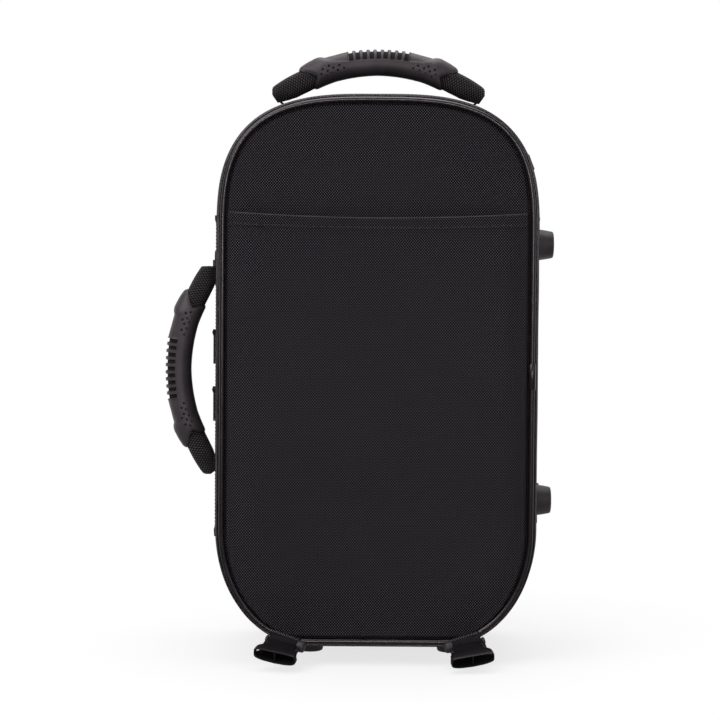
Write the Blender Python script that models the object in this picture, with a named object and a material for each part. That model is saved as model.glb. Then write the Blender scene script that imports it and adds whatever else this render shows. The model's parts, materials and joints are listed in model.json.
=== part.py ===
"""Cornet case: two fabric covered shells joined by a cloth hinge and a zip, with carrying handles, rubber
feet, strap rings, strap buckles and a fitted inside. Metres, +Z up, the wearer's side faces -Y."""

import functools
import math

import bmesh
import bpy
from mathutils import Matrix, Vector

# Clearances
GAP = 0.0003            # between pieces that touch
OVERRUN = 0.004         # how far a cutter passes the face it cuts
SHARP_ANGLE = math.radians(35)

# Seam outline of the two panels
HALF_WIDTH = 0.1242
SEAM_HEIGHT = 0.4345
TOP_END = 0.112         # height of the rounded top
TOP_POWER = 3.1
BOTTOM_END = 0.090      # height of the rounded bottom corners
BOTTOM_POWER = 2.05
BOTTOM_FLAT = 0.053     # half of the flat stretch at the bottom
END_STEPS = 26          # segments round each end

# Depth, crown and walls
DEPTH = 0.160           # from seam to seam
BASE_DEPTH = 0.114      # from the wearer's seam to the parting
CROWN = 0.0075          # how far the gusset bulges past the seams
CROWN_POWER = 3.5
PARTING_GAP = 0.0016
WALL = 0.006
CROWN_SHARES = (0.0, 0.03, 0.12, 0.35, 1.0)

# Feet and their screws
FOOT_HEIGHT = 0.0118
FOOT_BASE_RADIUS = 0.0125
FOOT_TIP_RADIUS = 0.0105
FOOT_EDGE = 0.0012
FOOT_SPACING = 0.1176   # between the two feet of the bottom
FOOT_SHIFT = 0.0048     # of that pair, to the right of the middle
FOOT_SEAT = 0.006       # the bottom feet's seats are shaped out of this much more height
SIDE_FOOT_LOW = 0.108   # above the bottom seam
SIDE_FOOT_DROP = 0.1135  # the upper foot below the top seam
FOOT_SIDES = 20
SCREW_RADIUS = 0.002
SCREW_HEAD_RADIUS = 0.0042
SCREW_HEAD_HEIGHT = 0.0022
SCREW_SINK = 0.0012     # head below the foot's tip
SCREW_END = 0.001       # shank past the shell's inner face is cut short by this

# Reinforcing straps on both sides
STRAP_AHEAD = 0.048     # middle of the straps, handles and feet, from the parting
STRAP_WIDTH = 0.025
STRAP_THICK = 0.0014
STRAP_LOW = 0.090       # above the bottom seam
STRAP_DROP = 0.0915     # the straps' upper ends below the top seam
LEFT_STRAP_LOW = 0.078

# Panels, pocket and piping
PANEL_THICK = 0.002
PANEL_INSET = 0.0037
PANEL_EDGE = 0.0025     # width of the panel's rounded edge
PANEL_EDGE_DROP = 0.0009
LID_PANEL_CROWN = 0.0022
PANEL_CROWN_SHARES = (0.80, 0.45)   # where the crown's two inner rings lie
PANEL_LIFT_SHARES = (0.55, 1.0)
PIPING_RADIUS = 0.0022
PIPING_SIDES = 8
SPLICE_HEIGHT = 0.0205
SPLICE_LOW = 0.204      # above the bottom seam
SPLICE_THICK = 0.0005
SPLICE_WRAP = math.radians(105)
POCKET_THICK = 0.001
POCKET_INSET = 0.0045
POCKET_DROP = 0.0915    # the mouth below the top seam
POCKET_SAG = 0.0042
POCKET_FULLNESS = 0.0048
POCKET_RAMP = 0.020
POCKET_FOOT_RAMP = 0.045
POCKET_EDGE_SHARES = (1.0, 0.93, 0.86)      # columns near the pocket's sides
POCKET_MIDDLE_SHARE = 0.55                  # half the width of its evenly spaced columns
POCKET_COLUMNS = 6
POCKET_ROW_SHARES = (0.6, 0.3)

# Zip
TAPE_THICK = 0.0008
TAPE_WIDTH = 0.0095
CHAIN_WIDTH = 0.0028
CHAIN_THICK = 0.0016
SLIDER_LENGTH = 0.012
SLIDER_WIDTH = 0.0100
SLIDER_PLATE = 0.0015
SLIDER_NECK = 0.0006
SLIDER_FLANGE = 0.0010
SLIDER_EAR = 0.0010
SLIDER_EAR_HEIGHT = 0.0034
SLIDER_EAR_LENGTH = 0.0050
PIN_RADIUS = 0.0007
SLIDER_DROP = 0.1895    # the upper slider below the top seam
SLIDERS_APART = 0.049   # the lower slider below the upper one
PULL_LENGTH = 0.027
PULL_WIDTH = 0.0052
PULL_THICK = 0.0016
PULL_EYE = 0.0019       # outer radius of the pull's eye

# Hinge
HINGE_LOW = 0.070       # above the bottom seam
HINGE_DROP = 0.0685     # its upper end below the top seam
HINGE_STANDOFF = 0.0002

# Carrying handles
HANDLE_ARC = 0.150      # radius of the grip's curve
HANDLE_HALF_ANGLE = math.radians(32)
GRIP_HALF_ANGLE = math.radians(25.5)
GRIP_WIDTH = 0.026
GRIP_HEIGHT = 0.0205
GRIP_STATION_SHARES = (1.0, 0.90, 0.62, 0.36)
GRIP_HEIGHT_SHARES = (1.05, 1.20, 1.10, 1.0)
GRIP_END_SHARE = 0.92
MOUTH_ANGLE = math.radians(3.4)     # the webbing swells past the grip's mouth over this
WEBBING_HEIGHT = 0.0165
WEBBING_WIDTH = 0.0185
WEBBING_END_HEIGHT = 0.0115
WEBBING_END_WIDTH = 0.0140
CORE_HEIGHT = 0.0115    # webbing where it runs through the grip
CORE_WIDTH = 0.0165
TOP_HANDLE_LIFT = 0.0112    # ends of the handle's curve above the pivot
SIDE_HANDLE_LIFT = 0.0057
TOP_PIVOT_LIFT = 0.0012     # the top handle's pivot above its anchors
SIDE_PIVOT_LIFT = 0.0008
SIDE_HANDLE_ABOVE = 0.0016  # its middle above the middle of the side feet
TAIL_RETURN = 0.0005        # pivot back from the end of the handle's curve
TAIL_THICK = 0.0022
TAIL_PIVOT_RADIUS = 0.0010
TAIL_TOP_SHARE = 0.30       # of the webbing's height, above its middle
TAIL_LOW_SHARE = 0.42       # of the webbing's height, below its middle
TAIL_BEND_SHARE = 0.55      # way down to the pivot where the tail narrows
TAIL_BOW_SHARE = 0.3
TAIL_WIDTH_SHARE = 0.32
TAIL_NARROW_SHARE = 0.42
ANCHOR_LENGTH = 0.012
ANCHOR_WIDTH = 0.020
ANCHOR_THICK = 0.0012
HANDLE_SIDES = 14

# Strap rings and their tabs
RING_WIRE = 0.0017
RING_WIDTH = 0.031
RING_REACH = 0.0145
RING_CORNER = 0.007
RING_BAR_SHARE = 0.4        # of the bar's half length, held in the tab
RING_BAR_OFFSET = 0.0215    # bar from the middle of the strap
RING_TAB_WIDTH = 0.0135
RING_TAB_THICK = 0.0011
RING_TAB_LENGTH = 0.0075
TAB_SLOPE_SHARES = (1.2, 0.75)      # of the bend, where the tab's upper layer leaves the bar
TAB_FLAT_SHARE = 0.8                # of the tab's length, where it lies on the lower layer
RING_CLEAR = 0.00035
RING_RIGHT_LOW = 0.113      # above the bottom seam
RING_RIGHT_DROP = 0.0485    # below the top seam
RING_LEFT_DROP = 0.1345

# Strap buckles
BUCKLE_SPREAD = 0.0720
BUCKLE_YAW_LEFT = math.radians(-16)
BUCKLE_YAW_RIGHT = math.radians(11)
BUCKLE_PITCH = math.radians(24)
BUCKLE_ROLL = math.radians(9)
BUCKLE_FORWARD = 0.0087     # bar from the tab's plane
BUCKLE_DROP = 0.0025        # bar below the seam
BUCKLE_LENGTH = 0.027
BUCKLE_WAIST = 0.0125       # half widths
BUCKLE_MOUTH = 0.0172
BUCKLE_THICK = 0.0102
BUCKLE_REAR_THICK = 0.0072
BUCKLE_WALL = 0.0012
BUCKLE_SIDE_WALL = 0.0022
BUCKLE_CAVITY = 0.019
BUCKLE_RIB = 0.0011
BUCKLE_RIB_BACK = 0.0035
BUCKLE_BAR = 0.0017
BUCKLE_EAR = 0.0038
BUCKLE_EAR_THICK = 0.0028
BUCKLE_EAR_CLEAR = 0.0012   # beside the waist, for the tab
BUCKLE_SLOT = 0.0042        # from the bar's centre to the body
BUCKLE_FLARE_SHARE = 0.42   # of the body's length, where it reaches the mouth's width
BUCKLE_ARM_SHARE = 0.3      # of the body's length, where the ears' arms run into it
BUCKLE_BACK_SHARE = 0.9     # of the rear's height, at its very end
BUCKLE_ROUND_SHARE = 0.6    # of the half height, rounded off along the edges
WINDOW_LENGTH = 0.0075
WINDOW_HEIGHT = 0.0045
WINDOW_BACK = 0.0050        # from the mouth to the window
TAB_WIDTH = 0.0250
TAB_THICK = 0.0012
TAB_ABOVE = 0.0035          # sewn part above the seam
TAB_SEWN_SHARE = 0.3        # of the sewn part, where the tab starts to rise
TAB_LEAD_SHARE = 0.35       # of the way forward, where the tab starts to turn to the bar
TAB_TIP_SHARE = 0.62

# Inside
LINING_THICK = 0.0035
LINING_RIM = 0.0015         # lining's rim below the shell's rim
LID_PAD = 0.010
CRADLE_HEIGHT = 0.068
CAVITY_DEPTH = 0.0615   # down to the slab under the blocks
BELL_RADIUS = 0.061
BELL_THROAT = 0.021
BELL_LENGTH = 0.125
BELL_X = -0.026
BELL_LOW = 0.022            # above the bottom seam
BODY_MARGINS = 0.1364       # the body's hollow narrower than the seam outline
BODY_LOW = 0.120
BODY_DROP = 0.0995          # below the top seam
BODY_X = -0.015
BODY_ROUND = 0.020
BOW_WIDTH = 0.050
BOW_DROP = 0.0265           # below the top seam
BOW_X = -0.028
BOW_ROUND = 0.018
BOX_WIDTH = 0.048
BOX_LOW = 0.120
BOX_DROP = 0.1295           # below the top seam
BOX_ASIDE = 0.0422          # its middle in from the seam's right side
BOX_ROUND = 0.006
BOX_LID_THICK = 0.004
BOX_LID_LAP = 0.004
PULL_TAB_LENGTH = 0.014
PULL_TAB_WIDTH = 0.012
PULL_TAB_THICK = 0.001
HOLDER_WIDTH = 0.072
HOLDER_LENGTH = 0.038
HOLDER_HEIGHT = 0.026
HOLDER_X = 0.046
HOLDER_DROP = 0.0845        # its lower side below the top seam
WELL_RADIUS = 0.0135
WELL_DEPTH = 0.022
WELL_SPACING = 0.034

# Places that follow from the sizes above
FRONT_Y = -DEPTH / 2
BACK_Y = DEPTH / 2
PARTING_Y = FRONT_Y + BASE_DEPTH
STRAP_Y = PARTING_Y - STRAP_AHEAD
SEAM_LOW = FOOT_HEIGHT + GAP + CROWN
SEAM_HIGH = SEAM_LOW + SEAM_HEIGHT
TOP_CENTRE = SEAM_HIGH - TOP_END
BOTTOM_CENTRE = SEAM_LOW + BOTTOM_END
PANEL_BACK = GAP
PIPING_Y = PIPING_RADIUS + GAP
TAPE_IN = GAP
TAPE_OUT = GAP + TAPE_THICK
CHAIN_IN = TAPE_OUT + GAP
CHAIN_OUT = CHAIN_IN + CHAIN_THICK
LINING_FACE = WALL + GAP
CRADLE_BACK = FRONT_Y + LINING_FACE + LINING_THICK + GAP
CRADLE_TOP = CRADLE_BACK + CRADLE_HEIGHT
HINGE_OUT = CROWN + TAPE_OUT + HINGE_STANDOFF
SIDE_FOOT_HIGH = SEAM_HEIGHT - SIDE_FOOT_DROP
STRAP_HIGH = SEAM_HEIGHT - STRAP_DROP
POCKET_MOUTH = SEAM_HEIGHT - POCKET_DROP
HINGE_HIGH = SEAM_HEIGHT - HINGE_DROP
RING_RIGHT_HIGH = SEAM_HEIGHT - RING_RIGHT_DROP
RING_LEFT = SEAM_HEIGHT - RING_LEFT_DROP
UPPER_SLIDER = SEAM_HEIGHT - SLIDER_DROP
LOWER_SLIDER = UPPER_SLIDER - SLIDERS_APART
BODY_WIDTH = 2 * HALF_WIDTH - BODY_MARGINS
BODY_HIGH = SEAM_HEIGHT - BODY_DROP
BOW_HIGH = SEAM_HEIGHT - BOW_DROP
BOX_LENGTH = SEAM_HEIGHT - BOX_LOW - BOX_DROP
BOX_X = HALF_WIDTH - BOX_ASIDE
HOLDER_LOW = SEAM_HEIGHT - HOLDER_DROP
HANDLE_PIVOT_SPAN = 2 * (HANDLE_ARC * math.sin(HANDLE_HALF_ANGLE) - TAIL_RETURN)
HANDLE_DROP = HANDLE_ARC * (1 - math.cos(HANDLE_HALF_ANGLE))
TOP_HANDLE_RISE = HANDLE_DROP + TOP_HANDLE_LIFT     # grip's centre line above the pivot
SIDE_HANDLE_RISE = HANDLE_DROP + SIDE_HANDLE_LIFT

MATERIALS = {
    "nylon": ((0.021, 0.019, 0.023), 0.82, 0.0),
    "pocket_nylon": ((0.023, 0.021, 0.025), 0.80, 0.0),
    "piping": ((0.026, 0.023, 0.027), 0.45, 0.0),
    "webbing": ((0.016, 0.015, 0.017), 0.85, 0.0),
    "rubber": ((0.020, 0.019, 0.022), 0.55, 0.0),
    "plastic": ((0.014, 0.013, 0.015), 0.38, 0.0),
    "zip": ((0.015, 0.014, 0.016), 0.60, 0.0),
    "metal": ((0.30, 0.29, 0.30), 0.32, 1.0),
    "plush": ((0.055, 0.052, 0.060), 0.95, 0.0),
}


def material(name):
    """The named finish, made once."""
    found = bpy.data.materials.get(name)
    if found:
        return found
    colour, roughness, metallic = MATERIALS[name]
    made = bpy.data.materials.new(name)
    made.use_nodes = True
    shader = made.node_tree.nodes["Principled BSDF"]
    shader.inputs["Base Color"].default_value = (*colour, 1.0)
    shader.inputs["Roughness"].default_value = roughness
    shader.inputs["Metallic"].default_value = metallic
    return made


def face_out(mesh):
    """Turns every face of a closed mesh outwards."""
    bm = bmesh.new()
    bm.from_mesh(mesh)
    bmesh.ops.recalc_face_normals(bm, faces=bm.faces)
    bm.to_mesh(mesh)
    bm.free()


def add_object(name, mesh, finish, parent):
    """Links a mesh as a named piece under its parent empty, with its place kept in the world."""
    made = bpy.data.objects.new(name, mesh)
    bpy.context.scene.collection.objects.link(made)
    mesh.materials.append(material(finish))
    face_out(mesh)
    mesh.shade_smooth()
    mesh.set_sharp_from_angle(angle=SHARP_ANGLE)
    made.parent = parent
    if parent is not None:
        mesh.transform(Matrix.Translation(-pivot_place(parent)))
    return made


def pivot_place(empty):
    """Where an empty stands in the case's own frame, before the whole case is centred."""
    place = Vector(empty.location)
    if empty.parent is not None:
        place += pivot_place(empty.parent)
    return place


def add_pivot(name, place, parent):
    """An empty on a joint's axis."""
    made = bpy.data.objects.new(name, None)
    bpy.context.scene.collection.objects.link(made)
    made.parent = parent
    made.location = Vector(place) - (pivot_place(parent) if parent else Vector())
    return made


def mesh_from(bm, name):
    """Closes a bmesh into a mesh with its faces pointing out."""
    bmesh.ops.remove_doubles(bm, verts=bm.verts, dist=GAP / 300)
    bmesh.ops.recalc_face_normals(bm, faces=bm.faces)
    mesh = bpy.data.meshes.new(name)
    bm.to_mesh(mesh)
    bm.free()
    return mesh


def bridge(bm, loops, closed_loops=True, closed_stack=False):
    """Quads between successive loops of vertices."""
    pairs = list(zip(loops, loops[1:]))
    if closed_stack:
        pairs.append((loops[-1], loops[0]))
    for low, high in pairs:
        count = len(low)
        last = count if closed_loops else count - 1
        for i in range(last):
            j = (i + 1) % count
            bm.faces.new((low[i], low[j], high[j], high[i]))


def stacked(name, rings):
    """A closed solid from a stack of closed rings of points, capped at both ends."""
    bm = bmesh.new()
    loops = [[bm.verts.new(p) for p in ring] for ring in rings]
    bridge(bm, loops)
    bm.faces.new(loops[0])
    bm.faces.new(loops[-1])
    return mesh_from(bm, name)


def tube_ring(name, rings):
    """A closed solid from rings of points whose last ring meets the first."""
    bm = bmesh.new()
    loops = [[bm.verts.new(p) for p in ring] for ring in rings]
    bridge(bm, loops, closed_stack=True)
    return mesh_from(bm, name)


def cut(target, cutters, operation="DIFFERENCE"):
    """Applies cutters to a piece with the exact solver and removes them."""
    for cutter in cutters:
        modifier = target.modifiers.new("cut", "BOOLEAN")
        modifier.operation = operation
        modifier.solver = "EXACT"
        modifier.object = cutter
        bpy.context.view_layer.update()
        graph = bpy.context.evaluated_depsgraph_get()
        mesh = bpy.data.meshes.new_from_object(target.evaluated_get(graph))
        target.modifiers.clear()
        target.data = mesh
        bpy.data.objects.remove(cutter)
    target.data.shade_smooth()
    target.data.set_sharp_from_angle(angle=SHARP_ANGLE)


def loose(mesh, matrix=None):
    """A cutter or a part of a union, not yet a piece."""
    if matrix is not None:
        mesh.transform(matrix)
    face_out(mesh)
    made = bpy.data.objects.new("cutter", mesh)
    bpy.context.scene.collection.objects.link(made)
    made.hide_render = True
    made.display_type = "WIRE"
    return made


def box_mesh(low, high):
    """A box between two corners."""
    low, high = Vector(low), Vector(high)
    bm = bmesh.new()
    bmesh.ops.create_cube(bm, size=1)
    bmesh.ops.scale(bm, vec=high - low, verts=bm.verts)
    bmesh.ops.translate(bm, vec=(low + high) / 2, verts=bm.verts)
    return mesh_from(bm, "box")


def rod_mesh(radius, length, sides, radius_end=None):
    """A rod or cone along +Z from the origin."""
    bm = bmesh.new()
    end = radius if radius_end is None else radius_end
    bmesh.ops.create_cone(bm, cap_ends=True, segments=sides, radius1=radius, radius2=end, depth=length)
    bmesh.ops.translate(bm, vec=(0, 0, length / 2), verts=bm.verts)
    return mesh_from(bm, "rod")


def frame_matrix(origin, x_axis, y_axis, z_axis):
    """A matrix that carries local axes to the given directions at a place."""
    rotation = Matrix((x_axis, y_axis, z_axis)).transposed()
    return Matrix.Translation(origin) @ rotation.to_4x4()


def signed_power(value, power):
    """A power that keeps a curve in its quadrant."""
    return math.copysign(abs(value) ** power, value)


def end_point(angle, flat, height, power, centre, upward):
    """Point and outward normal on a rounded end, at an angle from its right side."""
    c, s = math.cos(angle), math.sin(angle)
    reach = HALF_WIDTH - flat
    across, along = signed_power(c, 2 / power), abs(s) ** (2 / power)
    x = math.copysign(flat, c) * (1 if abs(c) > GAP else 0) + reach * across
    slope_x = signed_power(c, 2 - 2 / power) / reach
    slope_z = abs(s) ** (2 - 2 / power) / height
    normal = Vector((slope_x, 0, upward * slope_z)).normalized()
    return Vector((x, 0, centre + upward * height * along)), normal


def even_samples(points, count):
    """Picks samples at equal steps along a dense run of (point, normal)."""
    lengths = [0.0]
    for a, b in zip(points, points[1:]):
        lengths.append(lengths[-1] + (b[0] - a[0]).length)
    picked = []
    for i in range(count + 1):
        want = lengths[-1] * i / count
        j = min(range(len(lengths)), key=lambda k: abs(lengths[k] - want))
        picked.append(points[j])
    return picked


@functools.lru_cache(maxsize=None)
def outline():
    """The seam outline as (point, normal) samples, anticlockwise from the right side's top corner."""
    dense = 720
    top = [
        end_point(math.pi * i / dense, 0.0, TOP_END, TOP_POWER, TOP_CENTRE, 1) for i in range(dense + 1)
    ]
    half = dense // 2
    quarter = [
        end_point(math.pi / 2 * i / half, BOTTOM_FLAT, BOTTOM_END, BOTTOM_POWER, BOTTOM_CENTRE, -1)
        for i in range(half + 1)
    ]
    quarter[-1] = (Vector((BOTTOM_FLAT, 0, SEAM_LOW)), Vector((0, 0, -1)))
    corner = even_samples(quarter, END_STEPS // 2)
    mirrored = [(Vector((-p.x, 0, p.z)), Vector((-n.x, 0, n.z))) for p, n in corner]
    return even_samples(top, END_STEPS) + mirrored + corner[::-1]


def between(run, place, axis):
    """Point and normal where a run of outline samples passes a place along an axis."""
    ordered = sorted(run, key=lambda s: s[0][axis])
    for low, high in zip(ordered, ordered[1:]):
        if low[0][axis] <= place <= high[0][axis]:
            share = (place - low[0][axis]) / (high[0][axis] - low[0][axis])
            return low[0].lerp(high[0], share), low[1].lerp(high[1], share)
    return ordered[0] if place < ordered[0][0][axis] else ordered[-1]


def side_edge(height, side):
    """The outline's left (-1) or right (+1) side at a height above the bottom seam."""
    return between([s for s in outline() if s[0].x * side > GAP], SEAM_LOW + height, 2)


def end_edge(x, upward):
    """The outline's top (+1) or bottom (-1) at a distance from the middle."""
    middle = (TOP_CENTRE + BOTTOM_CENTRE) / 2
    return between([s for s in outline() if (s[0].z - middle) * upward > 0], x, 0)


def crown_at(y):
    """How far the gusset stands out from the seam outline at a depth."""
    share = abs(2 * (y - FRONT_Y) / DEPTH - 1)
    return CROWN * max(0.0, 1 - share ** CROWN_POWER) ** (1 / CROWN_POWER)


def shell_inside():
    """Where the shells' straight inner skin lies, out from the seam outline."""
    return crown_at(FRONT_Y + WALL) - WALL


def on_gusset(sample, y, out):
    """A point out from the gusset's surface at a depth."""
    point, normal = sample
    return point + normal * (crown_at(y) + out) + Vector((0, y, 0))


def on_seam(sample, y, out):
    """A point out from the seam outline at a depth, without the crown."""
    point, normal = sample
    return point + normal * out + Vector((0, y, 0))


def tray(name, samples, skin, y_floor, inner):
    """A tray: an outer skin of (depth, out) from its face to its rim, and a straight inside."""
    y_rim = skin[-1][0]
    rings = [[on_seam(s, y, out) for s in samples] for y, out in skin]
    rings += [[on_seam(s, y, inner) for s in samples] for y in (y_rim, y_floor)]
    return stacked(name, rings)


def shell_skin(y_face, y_rim):
    """The crowned outer skin of a shell, from its face to its rim."""
    depths = [y_face + (y_rim - y_face) * share for share in CROWN_SHARES]
    return [(y, crown_at(y)) for y in depths]


def band(name, samples, depths, inner, outer):
    """A strip on the gusset that follows the outline samples between the given depths."""
    bm = bmesh.new()
    loops = []
    for s in samples:
        under = [on_gusset(s, y, inner) for y in depths]
        over = [on_gusset(s, y, outer) for y in reversed(depths)]
        loops.append([bm.verts.new(p) for p in under + over])
    bridge(bm, loops)
    bm.faces.new(loops[0])
    bm.faces.new(loops[-1])
    return mesh_from(bm, name)


def side_run(low, high, side):
    """Outline samples up one side, between two heights above the bottom seam."""
    first, last = side_edge(low, side), side_edge(high, side)
    inside = [s for s in outline() if s[0].x * side > GAP and first[0].z + GAP < s[0].z < last[0].z - GAP]
    return [first] + sorted(inside, key=lambda s: s[0].z) + [last]


def zip_run(samples):
    """Outline samples round the top, left and bottom, from the hinge's top end to its bottom end."""
    kept = [s for s in samples if not (s[0].x > 0 and HINGE_LOW < s[0].z - SEAM_LOW < HINGE_HIGH)]
    start = next(i for i, s in enumerate(kept) if s[0].x > 0 and s[0].z - SEAM_LOW >= HINGE_HIGH)
    ordered = kept[start:] + kept[:start]
    margin = CHAIN_WIDTH
    first = side_edge(HINGE_HIGH + margin, 1)
    last = side_edge(HINGE_LOW - margin, 1)
    inside = [s for s in ordered if (s[0] - first[0]).length > margin and (s[0] - last[0]).length > margin]
    return [first] + inside + [last]


def piping_mesh(name, samples, y):
    """The piping cord round one panel."""
    rings = []
    for point, normal in samples:
        ring = []
        for i in range(PIPING_SIDES):
            angle = 2 * math.pi * (i + 0.5) / PIPING_SIDES
            out, along = PIPING_RADIUS * math.cos(angle), PIPING_RADIUS * math.sin(angle)
            ring.append(point + normal * out + Vector((0, y + along, 0)))
        rings.append(ring)
    return tube_ring(name, rings)


def panel_mesh(name, samples, y_back, sign, crown):
    """A padded panel inside the piping: sign -1 faces the wearer, +1 the far side."""
    front = y_back + sign * PANEL_THICK
    edge = front - sign * PANEL_EDGE_DROP
    rings = [
        [on_seam(s, y_back, -PANEL_INSET) for s in samples],
        [on_seam(s, edge, -PANEL_INSET) for s in samples],
        [on_seam(s, front, -PANEL_INSET - PANEL_EDGE) for s in samples],
    ]
    if crown:
        middle = Vector((0, front + sign * crown, (SEAM_LOW + SEAM_HIGH) / 2))
        for share, lift in zip(PANEL_CROWN_SHARES, PANEL_LIFT_SHARES):
            ring = []
            for p in rings[2]:
                q = middle.lerp(p, share)
                q.y = front + sign * crown * lift
                ring.append(q)
            rings.append(ring)
    return stacked(name, rings)


def smooth_step(value):
    """Rises from 0 to 1 with level ends."""
    value = max(0.0, min(1.0, value))
    return value * value * (3 - 2 * value)


def pocket_rows(samples):
    """Right-hand outline samples under the pocket's mouth, from the mouth down to the bottom."""
    right = [s for s in samples if s[0].x > GAP and s[0].z - SEAM_LOW < POCKET_MOUTH - POCKET_RAMP / 2]
    right = sorted(right, key=lambda s: (-s[0].z, -s[0].x))
    top = [side_edge(POCKET_MOUTH, 1), side_edge(POCKET_MOUTH - POCKET_RAMP, 1)]
    reach = POCKET_MOUTH - BOTTOM_END
    straight = [side_edge(BOTTOM_END + reach * share, 1) for share in POCKET_ROW_SHARES]
    lower = [s for s in right if s[0].z <= BOTTOM_CENTRE + GAP]
    return top + straight + lower


def pocket_point(sample, share, y_base, layer):
    """A point on the slip pocket: share runs from -1 at the left edge to 1 at the right."""
    point, normal = sample
    edge = point - normal * POCKET_INSET
    x = edge.x * share
    from_side = edge.x * (1 - abs(share))
    from_foot = edge.z - (SEAM_LOW + POCKET_INSET)
    rise = smooth_step(from_side / POCKET_RAMP) * smooth_step(from_foot / POCKET_FOOT_RAMP)
    bulge = POCKET_FULLNESS * rise
    at_mouth = smooth_step((edge.z - SEAM_LOW - POCKET_MOUTH + POCKET_RAMP) / POCKET_RAMP)
    sag = POCKET_SAG * at_mouth * (1 - share * share)
    return Vector((x, y_base - bulge - layer, edge.z - sag))


def pocket_mesh(samples):
    """The slip pocket: one thick cloth, sewn down at both sides and the bottom, and open at its mouth."""
    y_base = FRONT_Y - PANEL_BACK - PANEL_THICK - GAP
    ramp = list(POCKET_EDGE_SHARES)
    step = 2 * POCKET_MIDDLE_SHARE / POCKET_COLUMNS
    middle = [POCKET_MIDDLE_SHARE - step * i for i in range(POCKET_COLUMNS + 1)]
    shares = ramp + middle + [-s for s in reversed(ramp)]
    rows = pocket_rows(samples)
    bm = bmesh.new()
    loops = []
    for sample in rows:
        back = [pocket_point(sample, s, y_base, 0.0) for s in shares]
        face = [pocket_point(sample, s, y_base, POCKET_THICK) for s in reversed(shares)]
        loops.append([bm.verts.new(p) for p in back + face])
    bridge(bm, loops)
    for loop in (loops[0], loops[-1]):
        count = len(shares)
        for i in range(count - 1):
            bm.faces.new((loop[i], loop[i + 1], loop[-i - 2], loop[-i - 1]))
    return mesh_from(bm, "slip_pocket")


def ribbon(name, path, thickness, width):
    """A bent strip: a path of (across, out) points in the local X and Z, as wide as given along local Y."""
    left, right = [], []
    for i, (px, pz) in enumerate(path):
        before = path[max(0, i - 1)]
        after = path[min(len(path) - 1, i + 1)]
        direction = Vector((after[0] - before[0], after[1] - before[1])).normalized()
        offset = Vector((-direction.y, direction.x)) * (thickness / 2)
        left.append((px + offset.x, pz + offset.y))
        right.append((px - offset.x, pz - offset.y))
    profile = left + right[::-1]
    count = len(left)
    bm = bmesh.new()
    near = [bm.verts.new((x, -width / 2, z)) for x, z in profile]
    far = [bm.verts.new((x, width / 2, z)) for x, z in profile]
    bridge(bm, [near, far])
    for loop in (near, far):
        for i in range(count - 1):
            bm.faces.new((loop[i], loop[i + 1], loop[-i - 2], loop[-i - 1]))
    return mesh_from(bm, name)


def arc(centre, radius, start, end, steps):
    """Points along an arc in a ribbon's plane."""
    return [
        (
            centre[0] + radius * math.cos(start + (end - start) * i / steps),
            centre[1] + radius * math.sin(start + (end - start) * i / steps),
        )
        for i in range(steps + 1)
    ]


def lathe(name, profile, sides):
    """A turned solid about +Z from a closed profile of (radius, height)."""
    rings = []
    for i in range(sides):
        angle = 2 * math.pi * i / sides
        rings.append([Vector((r * math.cos(angle), r * math.sin(angle), z)) for r, z in profile])
    return tube_ring(name, rings)


def foot_mesh(name, matrix, extra):
    """A tapered rubber foot with a stepped bore for its screw, and extra height under its seat."""
    bore = SCREW_RADIUS + GAP
    well = SCREW_HEAD_RADIUS + GAP
    step = FOOT_HEIGHT - SCREW_SINK - SCREW_HEAD_HEIGHT - GAP
    tip = FOOT_TIP_RADIUS
    profile = [
        (bore, -extra),
        (FOOT_BASE_RADIUS, -extra),
        (FOOT_BASE_RADIUS, FOOT_EDGE),
        (tip, FOOT_HEIGHT - FOOT_EDGE),
        (tip - FOOT_EDGE, FOOT_HEIGHT),
        (well, FOOT_HEIGHT),
        (well, step),
        (bore, step),
    ]
    mesh = lathe(name, profile, FOOT_SIDES)
    mesh.transform(matrix)
    return mesh


def screw_mesh(matrix, inside):
    """A foot's screw, its shank running into the shell."""
    head_low = FOOT_HEIGHT - SCREW_SINK - SCREW_HEAD_HEIGHT
    profile = [
        (0.0, -inside),
        (SCREW_RADIUS, -inside),
        (SCREW_RADIUS, head_low),
        (SCREW_HEAD_RADIUS, head_low),
        (SCREW_HEAD_RADIUS, head_low + SCREW_HEAD_HEIGHT / 2),
        (SCREW_HEAD_RADIUS / 2, head_low + SCREW_HEAD_HEIGHT),
        (0.0, head_low + SCREW_HEAD_HEIGHT),
    ]
    bm = bmesh.new()
    sides = 12
    loops = []
    for r, z in profile[1:-1]:
        ring = []
        for i in range(sides):
            angle = 2 * math.pi * i / sides
            ring.append(bm.verts.new((r * math.cos(angle), r * math.sin(angle), z)))
        loops.append(ring)
    bridge(bm, loops)
    bm.faces.new(loops[0])
    bm.faces.new(loops[-1])
    mesh = mesh_from(bm, "screw")
    mesh.transform(matrix)
    return mesh


def foot_places():
    """Each foot's name, seat matrix and the thickness of what its screw passes through."""
    places = []
    for name, height in (("side_foot_lower", SIDE_FOOT_LOW), ("side_foot_upper", SIDE_FOOT_HIGH)):
        sample = side_edge(height, 1)
        seat = on_gusset(sample, STRAP_Y, STRAP_THICK + 2 * GAP)
        x_axis, out = Vector((0, 1, 0)), sample[1].normalized()
        matrix = frame_matrix(seat, x_axis, out.cross(x_axis), out)
        places.append((name, matrix, STRAP_THICK + WALL))
    for name, side in (("bottom_foot_left", -1), ("bottom_foot_right", 1)):
        x = FOOT_SHIFT + side * FOOT_SPACING / 2
        sample = end_edge(x, -1)
        seat = Vector((x, STRAP_Y, FOOT_HEIGHT))
        down = Vector((0, 0, -1))
        x_axis = Vector((0, 1, 0))
        matrix = frame_matrix(seat, x_axis, down.cross(x_axis), down)
        lift = on_gusset(sample, STRAP_Y, 0.0).z - FOOT_HEIGHT
        places.append((name, matrix, WALL + lift))
    return places


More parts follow.
